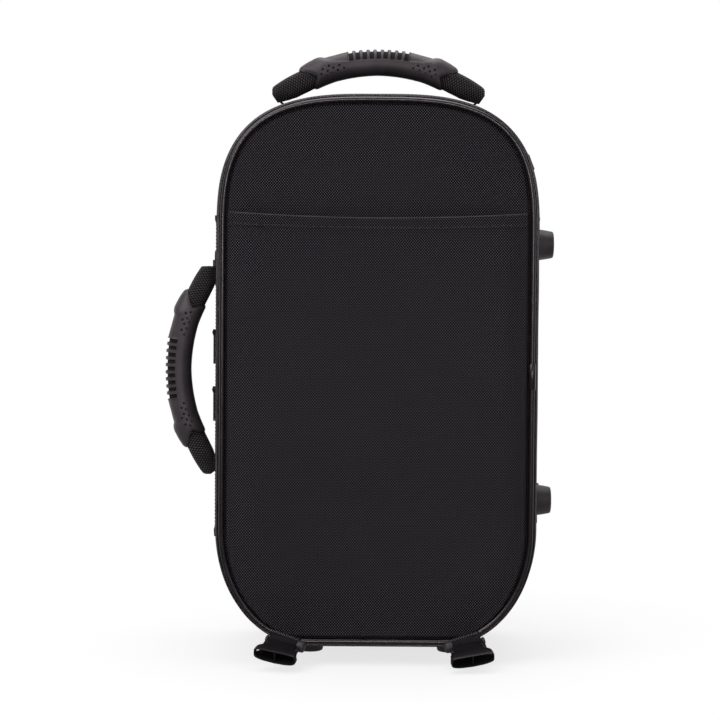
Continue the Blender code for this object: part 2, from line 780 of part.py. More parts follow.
def ellipse_ring(centre, side_axis, up_axis, half_width, half_height):
    """One elliptical section of a handle."""
    ring = []
    for i in range(HANDLE_SIDES):
        angle = 2 * math.pi * (i + 0.5) / HANDLE_SIDES
        aside = side_axis * half_width * math.cos(angle)
        ring.append(centre + aside + up_axis * half_height * math.sin(angle))
    return ring


def handle_section(angle, rise, height, width, shift=0.0):
    """A section of the handle at an angle along its curve. Local X runs along, Y across, Z out."""
    radius = HANDLE_ARC + shift
    centre = Vector((radius * math.sin(angle), 0, rise - HANDLE_ARC + radius * math.cos(angle)))
    up = Vector((math.sin(angle), 0, math.cos(angle)))
    return ellipse_ring(centre, Vector((0, 1, 0)), up, width / 2, height / 2)


def webbing_size(angle):
    """Height, width and outward shift of the webbing at an angle along the handle."""
    if abs(angle) < GRIP_HALF_ANGLE - MOUTH_ANGLE / 2:
        return CORE_HEIGHT, CORE_WIDTH, 0.0
    fade = smooth_step((abs(angle) - GRIP_HALF_ANGLE) / (HANDLE_HALF_ANGLE - GRIP_HALF_ANGLE))
    height = WEBBING_HEIGHT + (WEBBING_END_HEIGHT - WEBBING_HEIGHT) * fade
    width = WEBBING_WIDTH + (WEBBING_END_WIDTH - WEBBING_WIDTH) * fade
    return height, width, fade * WEBBING_END_HEIGHT / 8


def both_ways(angles):
    """Angles from one end of the handle to the other, through its middle."""
    return angles + [0.0] + [-a for a in reversed(angles)]


def handle_webbing(name, rise, matrix):
    """The webbing bar that runs through the grip and swells outside it."""
    grip, mouth = GRIP_HALF_ANGLE, GRIP_HALF_ANGLE - MOUTH_ANGLE
    angles = [HANDLE_HALF_ANGLE, (HANDLE_HALF_ANGLE + grip) / 2, grip, grip - MOUTH_ANGLE / 3]
    angles += [mouth + MOUTH_ANGLE / 4] + [mouth * share for share in GRIP_STATION_SHARES[1:]]
    rings = []
    for angle in both_ways(angles):
        height, width, shift = webbing_size(angle)
        rings.append(handle_section(angle, rise, height, width, shift))
    mesh = stacked(name, rings)
    mesh.transform(matrix)
    return mesh


def handle_grip(name, rise, matrix):
    """The moulded rubber grip round the webbing, thicker at both ends, with its bore."""
    mouth = GRIP_HALF_ANGLE - MOUTH_ANGLE
    angles = both_ways([mouth * share for share in GRIP_STATION_SHARES])
    heights = [GRIP_HEIGHT * share for share in GRIP_HEIGHT_SHARES]
    heights += [GRIP_HEIGHT] + heights[::-1]
    clear = 2 * GAP
    rings = []
    for i, (angle, height) in enumerate(zip(angles, heights)):
        width = GRIP_WIDTH * (GRIP_END_SHARE if i in (0, len(angles) - 1) else 1)
        rings.append(handle_section(angle, rise, height, width))
    for angle in reversed(angles):
        rings.append(handle_section(angle, rise, CORE_HEIGHT + clear, CORE_WIDTH + clear))
    mesh = tube_ring(name, rings)
    mesh.transform(matrix)
    return mesh


def handle_tail(name, rise, matrix, side):
    """A flat tail that ties one end of the webbing down to its pivot."""
    end_angle = side * HANDLE_HALF_ANGLE
    height, width, shift = webbing_size(end_angle)
    radius = HANDLE_ARC + shift
    up = Vector((math.sin(end_angle), 0, math.cos(end_angle)))
    along = Vector((side * math.cos(end_angle), 0, -math.sin(abs(end_angle))))
    across = Vector((0, 1, 0))
    centre = Vector((radius * math.sin(end_angle), 0, rise - HANDLE_ARC + radius * math.cos(end_angle)))
    near = along * (TAIL_THICK / 2 + GAP)
    top = centre + near + up * height * TAIL_TOP_SHARE
    low = centre + near - up * height * TAIL_LOW_SHARE
    foot = Vector((side * HANDLE_PIVOT_SPAN / 2, 0, 0))
    bend = low.lerp(foot, TAIL_BEND_SHARE) + along * TAIL_THICK * TAIL_BOW_SHARE
    leaning = (foot - low).cross(across).normalized()
    wide = width * TAIL_WIDTH_SHARE
    rings = []
    stations = (
        (top, along, TAIL_THICK / 2, wide),
        (low, along, TAIL_THICK / 2, wide),
        (bend, leaning, TAIL_THICK / 2, wide * TAIL_NARROW_SHARE),
        (foot, Vector((1, 0, 0)), TAIL_PIVOT_RADIUS, TAIL_PIVOT_RADIUS),
    )
    for place, thick_axis, half_thick, half_wide in stations:
        if thick_axis.dot(along) < 0:
            thick_axis = -thick_axis
        corners = ((1, 1), (-1, 1), (-1, -1), (1, -1))
        rings.append(
            [place + thick_axis * half_thick * a + across * half_wide * b for a, b in corners]
        )
    mesh = stacked(name, rings)
    mesh.transform(matrix)
    return mesh


def ring_mesh(name, matrix):
    """A D ring lying in its local XY plane: its bar along X through the origin, its loop towards +Y."""
    half = RING_WIDTH / 2 - RING_WIRE
    reach = RING_REACH - 2 * RING_WIRE
    held = half * RING_BAR_SHARE
    path = [(-held, 0.0), (held, 0.0), (half, 0.0)]
    path += arc((half - RING_CORNER, reach - RING_CORNER), RING_CORNER, 0.0, math.pi / 2, 4)
    path += arc((-half + RING_CORNER, reach - RING_CORNER), RING_CORNER, math.pi / 2, math.pi, 4)
    path += [(-half, 0.0)]
    count = len(path)
    rings = []
    for i, (x, y) in enumerate(path):
        before, after = path[i - 1], path[(i + 1) % count]
        to_here = Vector((x - before[0], y - before[1])).normalized()
        onward = Vector((after[0] - x, after[1] - y)).normalized()
        tangent = (to_here + onward).normalized()
        stretch = 1 / max(0.5, math.cos(to_here.angle(onward) / 2))
        out = Vector((tangent.y, -tangent.x, 0)) * stretch
        sides = 6
        ring = []
        for k in range(sides):
            angle = 2 * math.pi * (k + 0.5) / sides
            ring.append(
                Vector((x, y, 0))
                + out * RING_WIRE * math.cos(angle)
                + Vector((0, 0, 1)) * RING_WIRE * math.sin(angle)
            )
        rings.append(ring)
    mesh = tube_ring(name, rings)
    mesh.transform(matrix)
    return mesh


def ring_frame(height, side):
    """Ring matrix and bar place: local X along the outline, Y towards +Y, Z out from the gusset."""
    sample = side_edge(height, side)
    y = STRAP_Y + RING_BAR_OFFSET
    lift = GAP + RING_TAB_THICK + RING_CLEAR + RING_WIRE
    bar = on_gusset(sample, y, lift)
    out = sample[1].normalized()
    x_axis = Vector((0, 1, 0)).cross(out)
    return frame_matrix(bar, x_axis, Vector((0, 1, 0)), out), bar


def ring_tab(name, matrix):
    """A folded webbing tab round a ring's bar, its two layers sewn to the gusset behind the bar."""
    bend = RING_WIRE + RING_CLEAR + RING_TAB_THICK / 2
    end = -RING_TAB_LENGTH
    path = [(end, -bend), (-bend, -bend)]
    path += arc((0.0, 0.0), bend, -math.pi / 2, math.pi / 2, 6)
    upper = -bend + RING_TAB_THICK + GAP
    path.append((-bend * TAB_SLOPE_SHARES[0], bend * TAB_SLOPE_SHARES[1]))
    path += [(end * TAB_FLAT_SHARE, upper), (end, upper)]
    mesh = ribbon(name, path, RING_TAB_THICK, RING_TAB_WIDTH)
    swap = Matrix(((0, 1, 0, 0), (1, 0, 0, 0), (0, 0, 1, 0), (0, 0, 0, 1)))
    mesh.transform(matrix @ swap)
    return mesh


def tab_plane():
    """Depth of the buckle tabs' sewn part, in front of the piping."""
    return FRONT_Y - PIPING_Y - PIPING_RADIUS - GAP - TAB_THICK / 2


def buckle_frame(side):
    """Buckle matrix at its bar: local X from the bar to the mouth, Y across, Z through its thickness."""
    sample = end_edge(side * BUCKLE_SPREAD, -1)
    point, normal = sample
    yaw = BUCKLE_YAW_LEFT if side < 0 else BUCKLE_YAW_RIGHT
    place = point + normal * BUCKLE_DROP + Vector((0, tab_plane() - BUCKLE_FORWARD, 0))
    forward = Vector((math.sin(yaw) * math.cos(BUCKLE_PITCH), -math.cos(yaw) * math.cos(BUCKLE_PITCH), 0))
    forward.z = -math.sin(BUCKLE_PITCH)
    level = Vector((0, 0, 1)).cross(forward).normalized()
    rolled = forward.cross(level) * math.sin(BUCKLE_ROLL) * side
    across = (level * math.cos(BUCKLE_ROLL) + rolled).normalized()
    up = forward.cross(across).normalized()
    return frame_matrix(place, forward, across, up), place


def rounded_section(half_width, half_height, x, corner):
    """A rounded rectangle across a buckle at a distance along it."""
    points = []
    corners = ((1, 1, 0.0), (-1, 1, math.pi / 2), (-1, -1, math.pi), (1, -1, 1.5 * math.pi))
    for sy, sz, start in corners:
        for i in range(3):
            angle = start + math.pi / 4 * i
            y = sy * (half_width - corner) + corner * math.cos(angle)
            z = sz * (half_height - corner) + corner * math.sin(angle)
            points.append(Vector((x, y, z)))
    return points


def buckle_mesh_parts():
    """The socket's body as a lofted solid, and its cutters, in the buckle's own frame."""
    rear, mouth = BUCKLE_REAR_THICK / 2, BUCKLE_THICK / 2
    start, end = BUCKLE_SLOT, BUCKLE_LENGTH
    flare = start + (end - start) * BUCKLE_FLARE_SHARE
    body = stacked(
        "body",
        [
            rounded_section(BUCKLE_WAIST, rear * BUCKLE_BACK_SHARE, start, rear * BUCKLE_ROUND_SHARE),
            rounded_section(BUCKLE_WAIST, rear, start + BUCKLE_WALL, rear * BUCKLE_ROUND_SHARE),
            rounded_section(BUCKLE_MOUTH, mouth, flare, mouth * BUCKLE_ROUND_SHARE),
            rounded_section(BUCKLE_MOUTH, mouth, end, mouth * BUCKLE_ROUND_SHARE),
        ],
    )
    half_in = BUCKLE_MOUTH - BUCKLE_SIDE_WALL
    high_in = mouth - BUCKLE_WALL
    deep = end - BUCKLE_CAVITY
    narrow = BUCKLE_WAIST - BUCKLE_SIDE_WALL
    cavity = stacked(
        "cavity",
        [
            rounded_section(narrow, rear - BUCKLE_WALL, deep, BUCKLE_WALL),
            rounded_section(half_in, high_in, max(flare, deep + BUCKLE_WALL), BUCKLE_WALL),
            rounded_section(half_in, high_in, end + OVERRUN, BUCKLE_WALL),
        ],
    )
    window_end = end - WINDOW_BACK
    window = box_mesh(
        (window_end - WINDOW_LENGTH, -BUCKLE_MOUTH - OVERRUN, -WINDOW_HEIGHT / 2),
        (window_end, BUCKLE_MOUTH + OVERRUN, WINDOW_HEIGHT / 2),
    )
    rib = box_mesh(
        (deep - BUCKLE_WALL / 2, -BUCKLE_RIB / 2, -high_in - BUCKLE_WALL / 2),
        (end - BUCKLE_RIB_BACK, BUCKLE_RIB / 2, high_in + BUCKLE_WALL / 2),
    )
    return body, cavity, window, rib


def buckle_ears():
    """The two round ears behind the waist, with the bar between them, in the buckle's own frame."""
    inner = BUCKLE_WAIST + BUCKLE_EAR_CLEAR
    arm_end = BUCKLE_SLOT + (BUCKLE_LENGTH - BUCKLE_SLOT) * BUCKLE_ARM_SHARE
    parts = []
    quarter = Matrix.Rotation(-math.pi / 2, 4, "X")
    for side in (-1, 1):
        ear = rod_mesh(BUCKLE_EAR, BUCKLE_EAR_THICK, 12)
        y = inner if side > 0 else -inner - BUCKLE_EAR_THICK
        ear.transform(Matrix.Translation((0, y, 0)) @ quarter)
        parts.append(ear)
        arm_low = inner if side > 0 else -inner - BUCKLE_EAR_THICK
        arm = box_mesh(
            (0, arm_low, -BUCKLE_BAR),
            (arm_end, arm_low + BUCKLE_EAR_THICK, BUCKLE_BAR),
        )
        parts.append(arm)
    bar = rod_mesh(BUCKLE_BAR, 2 * inner + BUCKLE_EAR_THICK, 10)
    bar.transform(Matrix.Translation((0, -inner - BUCKLE_EAR_THICK / 2, 0)) @ quarter)
    parts.append(bar)
    return parts


def make_buckle(name, side, root):
    """One socket half of a side release buckle on its pivot."""
    matrix, place = buckle_frame(side)
    pivot = add_pivot(name + "_pivot", place, root)
    body, cavity, window, rib = buckle_mesh_parts()
    made = add_object(name, body, "plastic", None)
    cut(made, [loose(window), loose(cavity)])
    cut(made, [loose(m) for m in [rib] + buckle_ears()], "UNION")
    made.data.transform(matrix)
    made.parent = pivot
    made.data.transform(Matrix.Translation(-place))
    if not made.data.materials:
        made.data.materials.append(material("plastic"))
    return made


def strip_along(name, stations, thickness, width):
    """A bent and twisted strip through stations of (place, across)."""
    bm = bmesh.new()
    loops = []
    for i, (place, across) in enumerate(stations):
        before = stations[max(0, i - 1)][0]
        after = stations[min(len(stations) - 1, i + 1)][0]
        out = (after - before).cross(across).normalized() * (thickness / 2)
        side = across.normalized() * (width / 2)
        corners = (place + out + side, place + out - side, place - out - side, place - out + side)
        loops.append([bm.verts.new(p) for p in corners])
    bridge(bm, loops)
    bm.faces.new(loops[0])
    bm.faces.new(loops[-1])
    return mesh_from(bm, name)


def buckle_tab(name, side, root):
    """The webbing tab sewn over the piping, looped round the buckle's bar."""
    matrix, place = buckle_frame(side)
    point, normal = end_edge(side * BUCKLE_SPREAD, -1)
    normal = normal.normalized()
    forward = Vector((0, -1, 0))
    origin = Vector((point.x, tab_plane(), point.z))
    along_seam = normal.cross(forward)
    along_bar = matrix.to_3x3() @ Vector((0, 1, 0))
    if along_bar.dot(along_seam) < 0:
        along_bar = -along_bar
    bend = BUCKLE_BAR + 2 * GAP + TAB_THICK / 2
    sewn = ((-TAB_ABOVE, 0.0), (-TAB_ABOVE * TAB_SEWN_SHARE, TAB_THICK / 2))
    stations = [(origin + normal * n + forward * f, along_seam) for n, f in sewn]
    lead = origin + normal * (BUCKLE_DROP - bend) + forward * BUCKLE_FORWARD * TAB_LEAD_SHARE
    stations.append((lead, along_seam.lerp(along_bar, 0.5)))
    out = (forward - along_bar * forward.dot(along_bar)).normalized()
    down = along_bar.cross(out)
    if down.dot(normal) < 0:
        down = -down
    for across_bar, below in arc((0.0, 0.0), bend, -math.pi / 2, math.pi / 2, 8):
        stations.append((place + out * across_bar + down * below, along_bar))
    tip = place - out * BUCKLE_FORWARD * (1 - TAB_LEAD_SHARE) + down * bend * TAB_TIP_SHARE
    stations.append((tip, along_bar))
    return add_object(name, strip_along(name, stations, TAB_THICK, TAB_WIDTH), "webbing", root)


def slider_frame(height):
    """Slider matrix on the left side: local X up the zip, Y towards the lid, Z out."""
    sample = side_edge(height, -1)
    place = on_gusset(sample, PARTING_Y, CHAIN_OUT + GAP)
    return frame_matrix(place, Vector((0, 0, 1)), Vector((0, 1, 0)), Vector((-1, 0, 0))), place


def make_slider(name, height, root):
    """A zip slider: plate, neck between the two chains, one flange on the base's side, and two ears."""
    matrix, place = slider_frame(height)
    pivot = add_pivot(name + "_pivot", place, root)
    half_l, half_w = SLIDER_LENGTH / 2, SLIDER_WIDTH / 2
    plate = box_mesh((-half_l, -half_w, 0), (half_l, half_w, SLIDER_PLATE))
    neck_low = -(CHAIN_OUT + GAP)
    neck_high = (half_l / 2, SLIDER_NECK / 2, SLIDER_PLATE / 2)
    neck = box_mesh((-half_l / 2, -SLIDER_NECK / 2, neck_low), neck_high)
    flange_in = PARTING_GAP / 2 + CHAIN_WIDTH + GAP
    flange = box_mesh(
        (-half_l, -flange_in - SLIDER_FLANGE, -CHAIN_THICK),
        (half_l, -flange_in, SLIDER_PLATE / 2),
    )
    ear_in = PULL_WIDTH / 2 + GAP
    ears = []
    for sign in (-1, 1):
        low_y, high_y = sorted((sign * ear_in, sign * (ear_in + SLIDER_EAR)))
        ears.append(
            box_mesh(
                (-SLIDER_EAR_LENGTH / 2, low_y, SLIDER_PLATE / 2),
                (SLIDER_EAR_LENGTH / 2, high_y, SLIDER_PLATE + SLIDER_EAR_HEIGHT),
            )
        )
    pin = rod_mesh(PIN_RADIUS, 2 * ear_in + SLIDER_EAR, 8)
    start = Matrix.Translation((0, -ear_in - SLIDER_EAR / 2, pin_height()))
    pin.transform(start @ Matrix.Rotation(-math.pi / 2, 4, "X"))
    made = add_object(name, plate, "metal", None)
    cut(made, [loose(m) for m in [neck, flange, pin] + ears], "UNION")
    made.data.transform(Matrix.Translation(-place) @ matrix)
    made.parent = pivot
    return made, pivot, matrix


def pin_height():
    """The pull's pin above the slider's underside."""
    return SLIDER_PLATE + GAP + PULL_EYE


def make_pull(name, matrix, slider_pivot):
    """The pull: an eye round the slider's pin and a flat tongue that hangs down the zip."""
    place = matrix @ Vector((0, 0, pin_height()))
    pivot = add_pivot(name + "_pivot", place, slider_pivot)
    half = PULL_WIDTH / 2
    tongue = box_mesh((-PULL_LENGTH, -half, -PULL_THICK / 2), (-PIN_RADIUS, half, PULL_THICK / 2))
    eye = rod_mesh(PULL_EYE, 2 * half, 12)
    lay = Matrix.Translation((0, -half, 0)) @ Matrix.Rotation(-math.pi / 2, 4, "X")
    eye.transform(lay)
    hole = rod_mesh(PIN_RADIUS + GAP, 2 * half + 2 * OVERRUN, 10)
    hole.transform(Matrix.Translation((0, -half - OVERRUN, 0)) @ Matrix.Rotation(-math.pi / 2, 4, "X"))
    made = add_object(name, tongue, "metal", None)
    cut(made, [loose(eye)], "UNION")
    cut(made, [loose(hole)])
    turn_only = matrix.to_3x3().to_4x4()
    made.data.transform(turn_only)
    made.parent = pivot
    return made


def rounded_block(half_x, half_z, corner, y_low, y_high, centre):
    """An upright sided block with rounded corners in the XZ plane."""
    steps = 4
    points = []
    for sx, sz, start in ((1, 1, 0.0), (-1, 1, math.pi / 2), (-1, -1, math.pi), (1, -1, 1.5 * math.pi)):
        for i in range(steps + 1):
            angle = start + math.pi / 2 * i / steps
            x = centre[0] + sx * (half_x - corner) + corner * math.cos(angle)
            z = centre[1] + sz * (half_z - corner) + corner * math.sin(angle)
            points.append((x, z))
    return stacked("block", [[Vector((x, y, z)) for x, z in points] for y in (y_low, y_high)])


def cradle_cutters():
    """The hollows for the cornet's bell, body and front bow, and for the small things."""
    top = CRADLE_TOP + OVERRUN
    floor = CRADLE_TOP - CAVITY_DEPTH - OVERRUN
    bell_low = SEAM_LOW + BELL_LOW
    bell = rod_mesh(BELL_RADIUS, BELL_LENGTH, 20, BELL_THROAT)
    bell.transform(Matrix.Translation((BELL_X, CRADLE_TOP, bell_low)))
    body_mid = SEAM_LOW + (BODY_LOW + BODY_HIGH) / 2
    body_half = (BODY_HIGH - BODY_LOW) / 2
    body = rounded_block(BODY_WIDTH / 2, body_half, BODY_ROUND, floor, top, (BODY_X, body_mid))
    bow_low = BODY_HIGH - 2 * BODY_ROUND
    bow_mid = SEAM_LOW + (bow_low + BOW_HIGH) / 2
    bow_half = (BOW_HIGH - bow_low) / 2
    bow = rounded_block(BOW_WIDTH / 2, bow_half, BOW_ROUND, floor, top, (BOW_X, bow_mid))
    box_mid = SEAM_LOW + BOX_LOW + BOX_LENGTH / 2
    box = rounded_block(BOX_WIDTH / 2, BOX_LENGTH / 2, BOX_ROUND, floor, top, (BOX_X, box_mid))
    return [bell, body, bow, box]


def make_inside(samples, root, lid_pivot):
    """Linings of both shells, the cornet's cradle, the small box's cover and the mouthpiece holder."""
    outer = shell_inside() - GAP
    inner = outer - LINING_THICK
    face = FRONT_Y + LINING_FACE
    rim = PARTING_Y - PARTING_GAP / 2 - LINING_RIM
    lining = tray("base_lining", samples, [(face, outer), (rim, outer)], face + LINING_THICK, inner)
    add_object("base_lining", lining, "plush", root)
    face = BACK_Y - LINING_FACE
    rim = PARTING_Y + PARTING_GAP / 2 + LINING_RIM
    lining = tray("lid_lining", samples, [(face, outer), (rim, outer)], face - LID_PAD, inner)
    add_object("lid_lining", lining, "plush", lid_pivot)
    make_cradle([on_seam(s, 0.0, inner - GAP) for s in samples], root)
    make_box_cover(root)
    make_holder(root)


def cradle_regions():
    """Each cradle block's name and its lowest and highest corner in X and Z, from edge to edge."""
    far = HALF_WIDTH + OVERRUN
    low, high = SEAM_LOW - OVERRUN, SEAM_HIGH + OVERRUN
    body_low, body_high = SEAM_LOW + BODY_LOW, SEAM_LOW + BODY_HIGH
    left = BODY_X - BODY_WIDTH / 2 + BODY_ROUND
    right = BODY_X + BODY_WIDTH / 2 - BODY_ROUND
    return (
        ("cradle_lower", (-far, low), (far, body_low)),
        ("cradle_upper", (-far, body_high), (far, high)),
        ("cradle_left", (-far, body_low + GAP), (left, body_high - GAP)),
        ("cradle_right", (right, body_low + GAP), (far, body_high - GAP)),
    )


def make_cradle(ring, root):
    """The cradle: a foam slab, and four blocks on it round the hollows."""
    slab_top = CRADLE_TOP - CAVITY_DEPTH
    depths = (CRADLE_BACK, slab_top - GAP)
    slab = stacked("cradle_slab", [[p + Vector((0, y, 0)) for p in ring] for y in depths])
    add_object("cradle_slab", slab, "plush", root)
    for name, low, high in cradle_regions():
        depths = (slab_top, CRADLE_TOP)
        block = stacked(name, [[p + Vector((0, y, 0)) for p in ring] for y in depths])
        made = add_object(name, block, "plush", None)
        region = box_mesh((low[0], slab_top - OVERRUN, low[1]), (high[0], CRADLE_TOP + OVERRUN, high[1]))
        cut(made, [loose(region)], "INTERSECT")
        cut(made, [loose(m) for m in cradle_cutters()])
        made.parent = root


def make_box_cover(root):
    """The hinged cover of the small box, and its cloth pull tab."""
    half = BOX_WIDTH / 2 + BOX_LID_LAP
    low = SEAM_LOW + BOX_LOW - BOX_LID_LAP
    high = SEAM_LOW + BOX_LOW + BOX_LENGTH + BOX_LID_LAP
    seat = CRADLE_TOP + GAP
    axis = (BOX_X + half, seat, (low + high) / 2)
    pivot = add_pivot("box_cover_pivot", axis, root)
    cover = rounded_block(
        half, (high - low) / 2, BOX_ROUND, seat, seat + BOX_LID_THICK, (BOX_X, (low + high) / 2)
    )
    add_object("box_cover", cover, "plush", pivot)
    top = seat + BOX_LID_THICK + GAP
    x = BOX_X - half
    tab = box_mesh(
        (x - PULL_TAB_LENGTH / 4, top, (low + high - PULL_TAB_WIDTH) / 2),
        (x + PULL_TAB_LENGTH * 3 / 4, top + PULL_TAB_THICK, (low + high + PULL_TAB_WIDTH) / 2),
    )
    add_object("box_cover_tab", tab, "webbing", pivot)


def make_holder(root):
    """The mouthpiece holder: a foam block with two wells, on the cradle."""
    seat = CRADLE_TOP + GAP
    middle = (HOLDER_X, SEAM_LOW + HOLDER_LOW + HOLDER_LENGTH / 2)
    block = rounded_block(
        HOLDER_WIDTH / 2, HOLDER_LENGTH / 2, BOX_ROUND, seat, seat + HOLDER_HEIGHT, middle
    )
    made = add_object("mouthpiece_holder", block, "plush", None)
    wells = []
    for side in (-1, 1):
        well = rod_mesh(WELL_RADIUS, WELL_DEPTH + OVERRUN, 16)
        place = (HOLDER_X + side * WELL_SPACING / 2, seat + HOLDER_HEIGHT - WELL_DEPTH, middle[1])
        well.transform(Matrix.Translation(place) @ Matrix.Rotation(-math.pi / 2, 4, "X"))
        wells.append(loose(well))
    cut(made, wells)
    made.parent = root


def make_shells(samples, root, lid_pivot):
    """The two padded shells, with the screw holes of the feet in the base."""
    skin = shell_skin(FRONT_Y, PARTING_Y - PARTING_GAP / 2)
    mesh = tray("base_shell", samples, skin, FRONT_Y + WALL, shell_inside())
    base = add_object("base_shell", mesh, "nylon", None)
    holes = []
    for name, matrix, through in foot_places():
        depth = through + 3 * OVERRUN
        hole = rod_mesh(SCREW_RADIUS + GAP, depth, 10)
        holes.append(loose(hole, matrix @ Matrix.Translation((0, 0, OVERRUN - depth))))
    cut(base, holes)
    base.parent = root
    skin = shell_skin(BACK_Y, PARTING_Y + PARTING_GAP / 2)
    mesh = tray("lid_shell", samples, skin, BACK_Y - WALL, shell_inside())
    add_object("lid_shell", mesh, "nylon", lid_pivot)


def make_covers(samples, root, lid_pivot):
    """Panels, slip pocket and piping of both faces."""
    back = FRONT_Y - PANEL_BACK
    add_object("wearer_panel", panel_mesh("wearer_panel", samples, back, -1, 0.0), "nylon", root)
    add_object("slip_pocket", pocket_mesh(samples), "pocket_nylon", root)
    add_object("wearer_piping", piping_mesh("wearer_piping", samples, FRONT_Y - PIPING_Y), "piping", root)
    splice_path = arc((0.0, 0.0), PIPING_RADIUS + GAP + SPLICE_THICK / 2, -SPLICE_WRAP, SPLICE_WRAP, 10)
    splice = ribbon("piping_splice", splice_path, SPLICE_THICK, SPLICE_HEIGHT)
    point, normal = side_edge(SPLICE_LOW + SPLICE_HEIGHT / 2, 1)
    place = point + Vector((0, FRONT_Y - PIPING_Y, 0))
    splice.transform(frame_matrix(place, Vector((0, -1, 0)), Vector((0, 0, 1)), Vector((-1, 0, 0))))
    add_object("piping_splice", splice, "piping", root)
    back = BACK_Y + PANEL_BACK
    add_object("lid_panel", panel_mesh("lid_panel", samples, back, 1, LID_PANEL_CROWN), "nylon", lid_pivot)
    add_object("lid_piping", piping_mesh("lid_piping", samples, BACK_Y + PIPING_Y), "piping", lid_pivot)


def make_zip(samples, root, lid_pivot):
    """Zip tapes and chains of both shells, two sliders with their pulls, and the cloth hinge."""
    run = zip_run(samples)
    near, far = PARTING_Y - PARTING_GAP / 2, PARTING_Y + PARTING_GAP / 2
    pieces = (
        ("base_zip_tape", near - TAPE_WIDTH, near, TAPE_IN, TAPE_OUT, root),
        ("base_zip_chain", near - CHAIN_WIDTH, near, CHAIN_IN, CHAIN_OUT, root),
        ("lid_zip_tape", far, far + TAPE_WIDTH, TAPE_IN, TAPE_OUT, lid_pivot),
        ("lid_zip_chain", far, far + CHAIN_WIDTH, CHAIN_IN, CHAIN_OUT, lid_pivot),
    )
    for name, low, high, inner, outer, parent in pieces:
        add_object(name, band(name, run, [low, high], inner, outer), "zip", parent)
    hinge = side_run(HINGE_LOW, HINGE_HIGH, 1)
    close = GAP
    for name, low, high, parent in (
        ("hinge_tape_base", near - TAPE_WIDTH, PARTING_Y - close, root),
        ("hinge_tape_lid", PARTING_Y + close, far + TAPE_WIDTH, lid_pivot),
    ):
        add_object(name, band(name, hinge, [low, high], TAPE_IN, TAPE_OUT), "webbing", parent)
    for place, height in (("upper", UPPER_SLIDER), ("lower", LOWER_SLIDER)):
        slider, pivot, matrix = make_slider("zip_slider_" + place, height, root)
        make_pull("zip_pull_" + place, matrix, pivot)


def make_straps_and_feet(root):
    """Side straps, the four feet and their screws."""
    depths = [STRAP_Y - STRAP_WIDTH / 2, STRAP_Y, STRAP_Y + STRAP_WIDTH / 2]
    outer = GAP + STRAP_THICK
    right = band("side_strap_right", side_run(STRAP_LOW, STRAP_HIGH, 1), depths, GAP, outer)
    left = band("side_strap_left", side_run(LEFT_STRAP_LOW, STRAP_HIGH, -1), depths, GAP, outer)
    strap = add_object("side_strap_right", right, "webbing", None)
    add_object("side_strap_left", left, "webbing", root)
    holes = []
    for name, matrix, through in foot_places():
        on_strap = name.startswith("side")
        foot = add_object(name, foot_mesh(name, matrix, 0.0 if on_strap else FOOT_SEAT), "rubber", None)
        if not on_strap:
            skin = shell_skin(FRONT_Y, PARTING_Y)
            body = [[on_seam(s, y, out + GAP) for s in outline()] for y, out in skin]
            cut(foot, [loose(stacked("body", body))])
        foot.parent = root
        screw = screw_mesh(matrix, through - SCREW_END)
        add_object(name.replace("foot", "foot_screw"), screw, "metal", root)
        if on_strap:
            hole = rod_mesh(SCREW_RADIUS + GAP, 2 * OVERRUN, 10)
            holes.append(loose(hole, matrix @ Matrix.Translation((0, 0, -OVERRUN))))
    cut(strap, holes)
    strap.parent = root


def make_handle(prefix, rise, matrix, anchors, root):
    """One carrying handle on its pivot, with the two sewn anchors that stay on the case."""
    pivot = add_pivot(prefix + "_pivot", matrix.to_translation(), root)
    add_object(prefix + "_webbing", handle_webbing(prefix, rise, matrix), "webbing", pivot)
    add_object(prefix + "_grip", handle_grip(prefix, rise, matrix), "rubber", pivot)
    half_l, half_w = ANCHOR_LENGTH / 2, ANCHOR_WIDTH / 2
    for side, end, (place, out) in zip((-1, 1), ("_a", "_b"), anchors):
        tail = handle_tail(prefix, rise, matrix, side)
        add_object(prefix + "_tail" + end, tail, "webbing", pivot)
        pad = box_mesh((-half_l, -half_w, 0), (half_l, half_w, ANCHOR_THICK))
        x_axis = Vector((0, 1, 0)).cross(out)
        pad.transform(frame_matrix(place, x_axis, Vector((0, 1, 0)), out))
        add_object(prefix + "_anchor" + end, pad, "webbing", root)


def make_handles(root):
    """The top handle, standing on the rounded top, and the side handle on the left strap."""
    half = HANDLE_PIVOT_SPAN / 2
    anchors = []
    for x in (-half, half):
        lean = end_edge(x, 1)[1].normalized().x
        sample = end_edge(x - lean * (CROWN + 2 * GAP), 1)
        anchors.append((on_gusset(sample, STRAP_Y, 2 * GAP), sample[1].normalized()))
    level = anchors[1][0].z + ANCHOR_THICK / anchors[1][1].z + TOP_PIVOT_LIFT
    up = frame_matrix(Vector((0, STRAP_Y, level)), Vector((1, 0, 0)), Vector((0, 1, 0)), Vector((0, 0, 1)))
    make_handle("top_handle", TOP_HANDLE_RISE, up, anchors, root)
    middle = (SIDE_FOOT_LOW + SIDE_FOOT_HIGH) / 2 + SIDE_HANDLE_ABOVE
    seat = STRAP_THICK + 2 * GAP
    anchors = []
    for height in (middle - half, middle + half):
        sample = side_edge(height, -1)
        anchors.append((on_gusset(sample, STRAP_Y, seat), sample[1].normalized()))
    sample = side_edge(middle, -1)
    place = on_gusset(sample, STRAP_Y, seat + ANCHOR_THICK + SIDE_PIVOT_LIFT)
    aside = frame_matrix(place, Vector((0, 0, 1)), Vector((0, 1, 0)), Vector((-1, 0, 0)))
    make_handle("side_handle", SIDE_HANDLE_RISE, aside, anchors, root)


